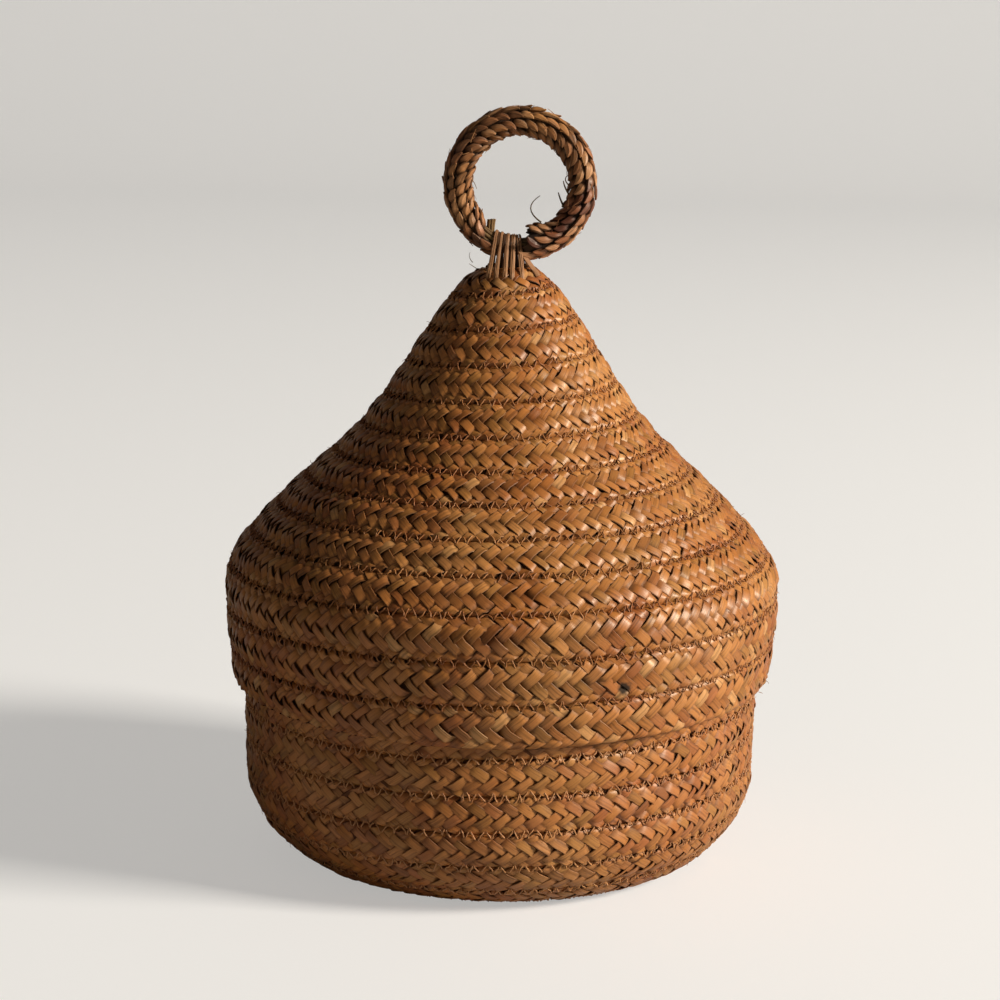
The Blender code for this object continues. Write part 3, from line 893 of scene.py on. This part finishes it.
def lashing(name, seed, over, tops, feet, straight=False):
    """One winding of three fibres, over a core of radius over, for loops whose tops and feet
    lie at these x. spread is 0 at a loop's top and 1 at its foot."""
    rng = np.random.default_rng(seed)
    foot = lid_crown(LASHING_FOOT_RADIUS, -0.9 * MM)
    closed = loop_outline(over, foot, straight)
    reached = run_length(closed[None])[0]
    reached = reached / reached[-1]
    loops = np.arange(len(tops))
    t = np.linspace(-0.5, loops[-1] + 0.5, len(loops) * 60 + 1)
    y = np.interp(t % 1.0, reached, closed[:, 0])
    z = np.interp(t % 1.0, reached, closed[:, 1])
    top = RING_SEAT[2] + over
    spread = np.clip((top - z) / (top - foot[1]), 0, 1)
    down = reached[CURVE_STEPS * CORNERS_TO_FOOT]
    knots = (loops[:, None] + [-down, 0.0, down]).ravel()
    places = np.stack([feet + BACK_SHIFT, tops, feet], 1).ravel()
    bends = np.linspace(t[0], t[-1], 9 * len(loops))
    wobble = np.stack([np.interp(t, bends, rng.normal(0, 0.11, len(bends)))
                       for _ in FIBRE_PLACES]) * MM
    x = np.interp(t, knots, places) + FIBRE_PLACES * (0.75 + 0.45 * spread) + wobble
    rise = RING_RADIUS - np.sqrt(RING_RADIUS**2 - (x - RING_CENTRE[0]) ** 2)
    draw_in = (1 - np.sqrt(1 - (x / LASHING_FOOT_RADIUS) ** 2)) * (not straight)
    path = np.stack([x, -y * (1 - draw_in * spread), z + rise * (1 - spread)], -1)
    normal = path - (0.0, 0.0, foot[1])
    path = path + unit(normal) * FIBRE_LIFTS
    half = FIBRE_HALF_WIDTHS * (0.85 + 0.3 * spread)
    return lay(name, path, normal, FLAT, half, 0.14 * MM, rng.random(3), FIBRE_ROLLS,
               smooth_angle=50.0)


def flat_end(name):
    """The winding's flat loose end, which comes out behind the last loop and lies down on
    the lid's crown: the flat profile along a smooth curve through five points."""
    points = np.array([(3.4, -2.7, 156.0), (4.6, -3.6, 154.6), (5.9, -4.6, 152.9),
                       (7.1, -5.5, 151.5), (7.8, -6.3, 150.5)]) * MM
    path = smooth_outline(points, 6)[None]
    normal = np.broadcast_to([0.45, -0.75, 0.55], path.shape)
    half = 0.80 * MM * np.linspace(0.85, 1.05, path.shape[1])[None]
    return lay(name, path, normal, FLAT, half, 0.16 * MM, [0.5], smooth_angle=50.0)


handle_lashing = lashing("handle_lashing_strands", 31, 2.95 * MM, LOOP_TOPS, LOOP_FEET)
inner_lashing = lashing("handle_inner_strands", 32, 2.66 * MM, LOOP_TOPS[:4] + 0.65 * MM,
                        LOOP_TOPS[:4] * 1.15 + 0.55 * MM, True)
lashing_end = flat_end("handle_lashing_end")

# %% [markdown]
# ## Loose fibres
#
# Raffia frays. A few fibres stand off the ring, one of them in a curl, and short ends
# stick out of the seams all over the box. They are thin, but without them the outline
# looks cast. Each is a three-point curve with a round profile that thins to its end.

# %% Fray the edges
def fibres(name, points, radius, tone):
    """Thin curves through start, bend and end points: (1-t)^2 a + 2t(1-t) b + t^2 c."""
    a, b, c = (points[:, k, None] for k in range(3))
    t = np.linspace(0.0, 1.0, 9)[None, :, None]
    path = (1 - t) ** 2 * a + 2 * t * (1 - t) * b + t**2 * c
    thin = np.asarray(radius).reshape(-1, 1) * np.linspace(1.0, 0.45, 9)
    normal = np.broadcast_to([0.3, -0.9, 0.2], path.shape)
    return lay(name, path, normal, rod(4), thin, thin, tone, smooth_angle=80.0)


LONG_FIBRES = np.array([
    [(8.3, -1.5, 163.6), (3.0, -1.8, 167.2), (7.9, -2.0, 170.4)],
    [(16.6, -1.0, 172.0), (12.2, -1.4, 174.8), (15.8, -1.2, 176.0)],
    [(16.0, -1.0, 169.6), (13.9, -1.3, 172.4), (13.7, -1.4, 174.2)],
    [(14.6, -1.2, 166.6), (13.0, -1.2, 169.2), (12.5, -1.0, 171.2)],
    [(-10.9, -1.0, 174.8), (-9.0, -1.6, 174.4), (-8.2, -1.8, 171.8)],
    [(-11.2, -1.2, 168.0), (-9.3, -1.6, 169.2), (-8.0, -1.6, 168.2)],
    [(-8.6, -1.0, 163.4), (-6.8, -1.4, 165.0), (-6.7, -1.3, 166.8)],
    [(-8.9, -4.0, 153.4), (-10.2, -4.4, 154.6), (-9.6, -4.5, 156.0)],
    [(-7.7, -5.0, 151.8), (-9.4, -5.4, 153.0), (-9.9, -5.5, 153.2)],
]) * MM
FIBRE_RADII = np.array([0.22, 0.20, 0.30, 0.34, 0.14, 0.18, 0.22, 0.11, 0.11]) * MM
ON_RING = 7
ring_whiskers = fibres("handle_loose_fibres", LONG_FIBRES[:ON_RING], FIBRE_RADII[:ON_RING],
                       np.linspace(0, 0.99, ON_RING))
neck_whiskers = fibres("lid_neck_fibres", LONG_FIBRES[ON_RING:], FIBRE_RADII[ON_RING:],
                       [0.2, 0.7])

# %% [markdown]
# The short ones are many, so they are scattered: along the sleeve, where they lie down and
# lift off at one end, and along the seams, where the ends of strands and thread show.

# %% Scatter short fibres
def ring_frayed(name, count, seed):
    """Short fibres that lie along the sleeve and lift off it a little at one end."""
    rng = np.random.default_rng(seed)
    start = rng.uniform(0.03, 0.97, count) * SLEEVE_LENGTH
    turn = rng.random(count)
    run = rng.choice([-1.0, 1.0], count) * rng.uniform(1.2, 3.2, count) * MM
    swing = rng.normal(0, 0.04, count)
    radii = (np.full(count, 3.6 * MM), np.full(count, 4.05 * MM),
             rng.uniform(3.9, 4.35, count) * MM)
    points = [on_ring(start + run * k, turn + swing * k, radius)[0]
              for k, radius in zip((0.0, 0.5, 1.0), radii)]
    return fibres(name, np.stack(points, 1), rng.uniform(0.06, 0.13, count) * MM,
                  rng.random(count))


def seam_fray(name, plait, first_turn, count, seed):
    """Short fibres that leave the wall near a seam: each runs about a millimetre or two
    along the wall, and its end stands up to 1.3 mm off it."""
    rng = np.random.default_rng(seed)
    first = np.interp(first_turn, plait.table[1], plait.table[0])
    turn = plait.turn_at(rng.uniform(first, 0.93 * plait.table[0][-1], count))
    edge = plait.far_edge(turn) + rng.normal(0, 0.8, count) * MM
    slope = rng.normal(0, 1.0, count) * MM
    radius = np.interp(edge, plait.length, plait.outline[:, 0])
    step = rng.normal(0, 1.3, count) * MM / (2 * math.pi * radius)
    lift = (1.05 + np.abs(rng.normal(0, 0.32, count)).clip(0, 0.9)) * MM
    start = plait.at(turn, edge, np.full(count, 0.1) * MM)
    bend = plait.at(turn + step * 0.6, edge + slope * 0.3, lift)
    end = plait.at(turn + step, edge + slope, lift * rng.uniform(0.8, 1.15, count))
    return fibres(name, np.stack([start, bend, end], 1), rng.uniform(0.045, 0.09, count) * MM,
                  rng.random(count))


ring_fray = ring_frayed("handle_frayed_fibres", 90, 43)
base_fray = seam_fray("base_loose_fibres", base, FLOOR_TURNS, 160, 41)
lid_fray = seam_fray("lid_loose_fibres", lid, 0.6, 260, 42)

# %% [markdown]
# ## The finish of raffia
#
# Raffia is a strip of palm leaf. Up close it has fine ridges along its length, a satin
# gloss on the ridges and a colour that changes from strand to strand: golden, reddish,
# olive, straw. Several materials need the ridges and the broad patches, so each is a node
# group that gives only masks. The colour and the gloss belong to the Principled shader in
# each material. First come a few helpers that keep a node to one line.

# %% Write nodes in one line
def group(name, inputs, outputs):
    """A node group with named sockets. Returns the group and its two end nodes."""
    tree = bpy.data.node_groups.new(name, "ShaderNodeTree")
    for label, kind, value in inputs:
        socket = tree.interface.new_socket(label, in_out="INPUT", socket_type=kind)
        if value is not None:
            socket.default_value = value
    for label, kind in outputs:
        tree.interface.new_socket(label, in_out="OUTPUT", socket_type=kind)
    return tree, tree.nodes.new("NodeGroupInput"), tree.nodes.new("NodeGroupOutput")


def node(tree, kind, links=(), **values):
    """A node with its settings, and links given as (input, source socket)."""
    made = tree.nodes.new(kind)
    for key, value in values.items():
        setattr(made, key, value)
    for socket, source in links:
        if hasattr(source, "is_output"):
            tree.links.new(made.inputs[socket], source)
        else:
            made.inputs[socket].default_value = source
    return made


print("a node takes its inputs as (name or number, value or socket)")

# %% [markdown]
# Most of the nodes do sums, mix two colours, move a number to another range or read noise,
# so each of these gets a helper of its own, which gives back the output socket.

# %% Reckon with nodes
def reckon(tree, operation, *numbers, clamp=False):
    """The result of a Math node on up to three numbers or sockets."""
    return node(tree, "ShaderNodeMath", list(enumerate(numbers)), operation=operation,
                use_clamp=clamp).outputs[0]


def mix(tree, factor, colour_a, colour_b, blend="MIX"):
    """Two colours mixed: a where the factor is 0 and b where it is 1."""
    return node(tree, "ShaderNodeMix", [("Factor", factor), ("A", colour_a), ("B", colour_b)],
                data_type="RGBA", blend_type=blend).outputs[2]


def fade(tree, source, *limits):
    """A number moved from one range to another: from min, from max, to min, to max."""
    names = ("From Min", "From Max", "To Min", "To Max")
    return node(tree, "ShaderNodeMapRange", [("Value", source), *zip(names, limits)]).outputs[0]


def noise(tree, place, scale, detail=2.0, roughness=0.5):
    """Soft noise from 0 to 1 at a place."""
    return node(tree, "ShaderNodeTexNoise", [("Vector", place), ("Scale", scale), (
        "Detail", detail), ("Roughness", roughness)]).outputs["Fac"]


def ramp(tree, source, stops, interpolation="LINEAR"):
    """A colour ramp from (place, colour) stops."""
    made = node(tree, "ShaderNodeValToRGB", [("Fac", source)])
    made.color_ramp.interpolation = interpolation
    while len(made.color_ramp.elements) < len(stops):
        made.color_ramp.elements.new(1.0)
    for element, (place, colour) in zip(made.color_ramp.elements, stops):
        element.position = place
        element.color = (*colour, 1.0)
    return made.outputs["Color"]


def linear(colour):
    """A colour in the 0 to 255 values of a picture, as the linear light it stands for."""
    level = np.array(colour) / 255
    return tuple(np.where(level <= 0.04045, level / 12.92, ((level + 0.055) / 1.055) ** 2.4))


print("red 184 of 255 is", round(float(linear((184, 116, 56))[0]), 3), "of full light")

# %% [markdown]
# The fibre group reads a strand's own UV map, tone and depth. Noise that is stretched along
# the strand makes its ridges, and a slower one draws the thin lines where the leaf has
# split. The tone moves each strand to another part of the noise, so no two are alike. The
# patch group reads Object coordinates instead, because weather doesn't follow the strands.

# %% Build the shared node groups
SPLIT_LEVEL = 0.42
SPLIT_HALF_WIDTH = 0.012
EDGE_POWER = 7.0


def fibre_group():
    """Ridge and Fleck: two noises. Split: 1 where a third one passes through one level, and
    0 a little off it. Edge: a power of the distance off the strand's middle."""
    tree, given, out = group(
        "leaf_fibres",
        [("Across Count", "NodeSocketFloat", 7.0), ("Along Scale", "NodeSocketFloat", 0.12)],
        [("Ridge", "NodeSocketFloat"), ("Fleck", "NodeSocketFloat"), ("Edge", "NodeSocketFloat"),
         ("Tone", "NodeSocketFloat"), ("Split", "NodeSocketFloat"), ("Depth", "NodeSocketFloat")],
    )
    uv = node(tree, "ShaderNodeUVMap", uv_map="strand").outputs["UV"]
    parts = node(tree, "ShaderNodeSeparateXYZ", [("Vector", uv)])
    tone = node(tree, "ShaderNodeAttribute", attribute_name="tone").outputs["Fac"]
    depth = node(tree, "ShaderNodeAttribute", attribute_name="depth").outputs["Fac"]
    across = reckon(tree, "MULTIPLY", parts.outputs["X"], given.outputs[0])
    along = reckon(tree, "MULTIPLY", parts.outputs["Y"], given.outputs[1])
    lane = reckon(tree, "MULTIPLY", tone, 91.0)
    place = node(tree, "ShaderNodeCombineXYZ", [("X", across), ("Y", along), ("Z", lane)])
    place = place.outputs[0]
    slow = node(tree, "ShaderNodeVectorMath", [(0, place), (1, (0.3, 0.25, 1.0))],
                operation="MULTIPLY").outputs[0]
    vein = reckon(tree, "SUBTRACT", noise(tree, slow, 1.0, 0.0), SPLIT_LEVEL)
    near = reckon(tree, "ABSOLUTE", vein)
    centred = reckon(tree, "MULTIPLY_ADD", parts.outputs["X"], 2.0, -1.0)
    edge = reckon(tree, "POWER", reckon(tree, "ABSOLUTE", centred), EDGE_POWER)
    results = {
        "Ridge": noise(tree, place, 1.0, 3.0, 0.6), "Fleck": noise(tree, place, 0.45),
        "Edge": edge, "Tone": tone, "Depth": depth,
        "Split": fade(tree, near, 0.0, SPLIT_HALF_WIDTH, 1.0, 0.0),
    }
    for label, source in results.items():
        tree.links.new(out.inputs[label], source)
    return tree


FIBRES = fibre_group()


def weathering_group():
    """Broad patches, centimetres across, where the leaf has darkened or bleached."""
    tree, given, out = group(
        "leaf_patches", [("Scale", "NodeSocketFloat", 45.0)], [("Patch", "NodeSocketFloat")])
    place = node(tree, "ShaderNodeTexCoord").outputs["Object"]
    patch = noise(tree, place, given.outputs[0], 3.0, 0.55)
    tree.links.new(out.inputs["Patch"], patch)
    return tree


PATCHES = weathering_group()
print("groups:", FIBRES.name, PATCHES.name)

# %% [markdown]
# A raffia material picks the strand's colour from a ramp by its tone and bleaches it in broad
# patches. It darkens it with painted shade in the furrows, at thin edges and where the strand
# goes under; what is darkened so, and the leaf's splits and the spot, is also matt. The ridges
# also go to a Bump node, because they are finer than any mesh should be. The lid has one small
# dark spot on its front.

# %% Mix a raffia finish
BLEACHED = (210, 152, 88)
SPOT_COLOUR = (0.012, 0.007, 0.004, 1.0)
SPOT_RAGGEDNESS = 1.6 * MM


def dark_spot(tree, place, centre):
    """1 in the spot and 0 off it: the distance from its centre, made ragged by noise, fades
    between two radii."""
    away = node(tree, "ShaderNodeVectorMath", [(0, place), (1, centre)],
                operation="DISTANCE").outputs["Value"]
    reach = reckon(tree, "MULTIPLY_ADD", noise(tree, place, 900.0), SPOT_RAGGEDNESS, away)
    return fade(tree, reach, 1.9 * MM, 2.9 * MM, 0.94, 0.0)


def raffia(name, tints, dark, roughness, ridge_depth=0.05 * MM, across=11.0, along=0.14,
           spot=None):
    """A Principled material for strands with a UV map, a tone and a depth. The colour is that of
    the tone, mixed with dark by the largest of the depth, the splits and the edges; over the
    depth and the edges this is painted shade. The roughness falls on the ridges and grows with
    the dark."""
    finish = bpy.data.materials.new(name)
    finish.use_nodes = True
    tree = finish.node_tree
    shader = tree.nodes["Principled BSDF"]
    fibres = node(tree, "ShaderNodeGroup", [("Across Count", across), ("Along Scale", along)],
                  node_tree=FIBRES).outputs
    patches = node(tree, "ShaderNodeGroup", node_tree=PATCHES).outputs[0]
    shade = (*linear(dark), 1.0)

    stops = [(k / len(tints), linear(tint)) for k, tint in enumerate(tints)]
    colour = ramp(tree, fibres["Tone"], stops, "CONSTANT")
    bleach = ramp(tree, patches, [(0.42, (0, 0, 0)), (0.72, (0.5, 0.5, 0.5))])
    colour = mix(tree, bleach, colour, (*linear(BLEACHED), 1.0))
    fleck = ramp(tree, fibres["Fleck"], [(0.32, (0.45, 0.45, 0.45)), (0.5, (0, 0, 0))])
    colour = mix(tree, fleck, colour, shade)
    ridge = ramp(tree, fibres["Ridge"], [(0.3, (0.86, 0.84, 0.82)), (0.62, (1, 1, 1))])
    colour = mix(tree, 1.0, colour, ridge, "MULTIPLY")
    split = reckon(tree, "MULTIPLY", fibres["Split"], 0.40)
    # Painted shade by the depth and the strand's edges, together with the leaf's own splits and,
    # below, the spot.
    painted_shade_and_marks = reckon(tree, "MAXIMUM", fade(tree, fibres["Depth"], 0.12, 1.0, 0.0, 0.88), split)
    painted_shade_and_marks = reckon(tree, "MAXIMUM", painted_shade_and_marks, reckon(tree, "MULTIPLY", fibres["Edge"], 0.75))
    colour = mix(tree, painted_shade_and_marks, colour, shade)
    if spot is not None:
        place = node(tree, "ShaderNodeTexCoord").outputs["Object"]
        spotted = dark_spot(tree, place, spot)
        colour = mix(tree, spotted, colour, SPOT_COLOUR)
        painted_shade_and_marks = reckon(tree, "MAXIMUM", painted_shade_and_marks, spotted)

    gloss = fade(tree, fibres["Ridge"], 0.0, 1.0, roughness + 0.12, roughness - 0.08)
    rough = reckon(tree, "MULTIPLY_ADD", painted_shade_and_marks, 0.5, gloss, clamp=True)
    height = reckon(tree, "SUBTRACT", fibres["Ridge"], split)
    bump = node(tree, "ShaderNodeBump", [("Height", height), ("Strength", 0.6),
                                         ("Distance", ridge_depth)])
    tree.links.new(shader.inputs["Base Color"], colour)
    tree.links.new(shader.inputs["Roughness"], rough)
    tree.links.new(shader.inputs["Normal"], bump.outputs[0])
    shader.inputs["Specular Tint"].default_value = (1.0, 0.90, 0.74, 1.0)
    return finish


# %% [markdown]
# The lid's strands are a little more golden, with a deep brown painted shade in their gaps, the
# base's a little redder, and the ring's the darkest and the most mixed. The threads are matt:
# that of the base is pale, and that of the lid is about as dark as the lid itself. The lashing's
# inner winding gets darker copies of the lashing's colours, as painted shade. A thread or a stalk
# is narrower than a strand, so it has fewer ridges across.

# %% Name the colours and the finishes
GOLD = (184, 116, 56)
AMBER = (174, 105, 49)
DEEP = (155, 90, 43)
RUST = (166, 96, 48)
OLIVE = (166, 108, 50)
STRAW = (204, 146, 88)
BROWN = (145, 85, 42)
ROSE = (176, 107, 57)

# The third argument of each finish is its dark: painted shade under strands, at their edges and
# in the seams, and also the colour of the flecks and splits.
lid_raffia = raffia("lid_raffia", [GOLD, AMBER, DEEP, GOLD, AMBER, OLIVE, AMBER, GOLD, RUST,
                                   GOLD, DEEP, AMBER, STRAW, AMBER],
                    (36, 11, 1), 0.38, spot=(29.5 * MM, -65.2 * MM, 59.4 * MM))
base_raffia = raffia("base_raffia", [AMBER, GOLD, DEEP, AMBER, ROSE, GOLD, OLIVE, AMBER, RUST,
                                     GOLD, BROWN, AMBER], (62, 26, 8), 0.42)
ring_raffia = raffia("ring_raffia", [(138, 80, 48), (164, 106, 64), (108, 60, 38),
                                     (184, 130, 88), (144, 86, 48), (98, 54, 38),
                                     (158, 98, 66)], (12, 4, 2), 0.42, 0.06 * MM)
thread_raffia = raffia("sewing_raffia", [(164, 102, 58), (150, 90, 50)], (74, 40, 20), 0.5,
                       across=3.0, along=0.5)
pale_thread = raffia("pale_sewing_raffia", [(198, 142, 98), (184, 128, 84)], (120, 72, 42), 0.5,
                     across=3.0, along=0.5)
lashing_raffia = raffia("lashing_raffia", [(184, 138, 98), (166, 118, 80), (196, 154, 114)],
                        (70, 40, 24), 0.52, across=4.0, along=0.3)
# Painted shade: the inner winding's colours are darker copies of the lashing's.
lashing_painted_shade = raffia("lashing_painted_shade", [(78, 46, 28), (58, 34, 20)], (30, 16, 8), 0.7,
                       across=4.0, along=0.3)
grass = raffia("core_grass", [(88, 68, 40), (70, 54, 32), (104, 82, 48)], (34, 22, 12), 0.7,
               0.08 * MM, across=4.0, along=0.25)
print("finishes:", [finish.name for finish in bpy.data.materials])

# %% [markdown]
# ## Put the pieces on their bodies
#
# Each piece rides on the body that carries it in the imported model and stands for one of that
# body's plain solids, which is hidden. When the lid is lifted or the ring rocked, the pieces go
# with their bodies. The lashing belongs to the lid, so the ring rocks inside it.

# %% Dress the bodies
def dress(pieces, body, stands_for, finish):
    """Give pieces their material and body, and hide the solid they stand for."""
    for piece in pieces:
        piece.data.materials.append(finish)
        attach(piece, body)
        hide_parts(stands_for)


dress(base_floor + base_wall, "base", "base_plait", base_raffia)
dress(base_thread, "base", "base_sewing_thread", pale_thread)
dress(lid_strands, "lid", "lid_plait", lid_raffia)
dress(lid_thread, "lid", "lid_sewing_thread", thread_raffia)
dress([base_fray], "base", "base_plait", pale_thread)
dress([lid_fray], "lid", "lid_plait", thread_raffia)
dress([neck_whiskers], "lid", "lid_plait", grass)
dress(handle_sleeve + [ring_fray], "handle", "handle_plait", ring_raffia)
dress([ring_whiskers], "handle", "handle_plait", grass)
dress(handle_core, "handle", "handle_core", grass)
dress([handle_lashing, lashing_end], "lid", "handle_lashing", lashing_raffia)
dress([inner_lashing], "lid", "handle_lashing", lashing_painted_shade)

# %% [markdown]
# ## Floor and light
#
# In the photograph the light comes from the right, so a large soft lamp stands there, with
# a much weaker one at the left and a dim world to fill the shadows. The floor curves up
# into a backdrop. More light would make them pale, but it would also bleach the box.
# Instead the floor and the world glow for camera rays alone, which the Light Path node
# tells apart, so the glow lights nothing. Metal or glass would need it in its reflections
# too, but nothing here has any.

# %% Lay the floor
FLOOR_REACH = 40.0
FLOOR_GLOW = 0.46
BACKDROP_START = 2.2
BACKDROP_BEND = 1.2
BACKDROP_HEIGHT = 4.0


def plain_floor():
    """A pale floor that curves up into a backdrop: flat, then a quarter circle, then a
    wall, swept straight from side to side."""
    bend = np.linspace(0, math.pi / 2, 25)
    depth = np.concatenate([[-FLOOR_REACH, BACKDROP_START],
                            BACKDROP_START + BACKDROP_BEND * np.sin(bend[1:]),
                            [BACKDROP_START + BACKDROP_BEND]])
    height = np.concatenate([[0.0, 0.0], BACKDROP_BEND * (1 - np.cos(bend[1:])),
                             [BACKDROP_HEIGHT]])
    sides = np.array([-FLOOR_REACH, FLOOR_REACH])
    grid = np.stack(np.broadcast_arrays(sides[:, None], depth[None], height[None]), -1)
    index = np.arange(grid.size // 3).reshape(grid.shape[:2])
    faces = np.stack([index[:-1, :-1], index[1:, :-1], index[1:, 1:], index[:-1, 1:]], -1)
    mesh = bpy.data.meshes.new("floor")
    mesh.from_pydata(grid.reshape(-1, 3).tolist(), [], faces.reshape(-1, 4).tolist())
    mesh.polygons.foreach_set("use_smooth", np.ones(len(mesh.polygons), bool))
    floor = bpy.data.objects.new("floor", mesh)
    floor.location.z = -0.4 * MM
    bpy.context.scene.collection.objects.link(floor)
    paint = bpy.data.materials.new("floor_paint")
    paint.use_nodes = True
    shader = paint.node_tree.nodes["Principled BSDF"]
    shader.inputs["Base Color"].default_value = (0.52, 0.51, 0.49, 1.0)
    shader.inputs["Roughness"].default_value = 0.7
    shader.inputs["Emission Color"].default_value = (0.95, 0.93, 0.90, 1.0)
    ray = node(paint.node_tree, "ShaderNodeLightPath").outputs["Is Camera Ray"]
    glow = reckon(paint.node_tree, "MULTIPLY", ray, FLOOR_GLOW)
    paint.node_tree.links.new(shader.inputs["Emission Strength"], glow)
    mesh.materials.append(paint)


plain_floor()

# %% Light the box
LAMP_TARGET = (0.0, 0.0, 0.09)
WORLD_GLOW = 0.50
WORLD_LIGHT = 0.070


def soft_lamp(name, place, size, power, colour):
    """A square area lamp aimed at the middle of the box."""
    light = bpy.data.lights.new(name, "AREA")
    light.size = size
    light.energy = power
    light.color = colour
    lamp = bpy.data.objects.new(name, light)
    lamp.location = place
    aim = Vector(LAMP_TARGET) - Vector(place)
    lamp.rotation_euler = aim.to_track_quat("-Z", "Y").to_euler()
    bpy.context.scene.collection.objects.link(lamp)


soft_lamp("key", (2.46, -0.76, 1.30), 0.7, 128.0, (1.0, 0.96, 0.90))
soft_lamp("fill", (-2.0, -1.8, 1.4), 2.0, 1.1, (1.0, 0.90, 0.80))
world = bpy.data.worlds.new("studio")
world.use_nodes = True
sky = world.node_tree.nodes["Background"]
sky.inputs["Color"].default_value = (0.95, 0.87, 0.77, 1.0)
seen = node(world.node_tree, "ShaderNodeLightPath").outputs["Is Camera Ray"]
level = reckon(world.node_tree, "MULTIPLY_ADD", seen, WORLD_GLOW, WORLD_LIGHT)
world.node_tree.links.new(sky.inputs["Strength"], level)
bpy.context.scene.world = world
print("lamps:", [light.name for light in bpy.data.lights])
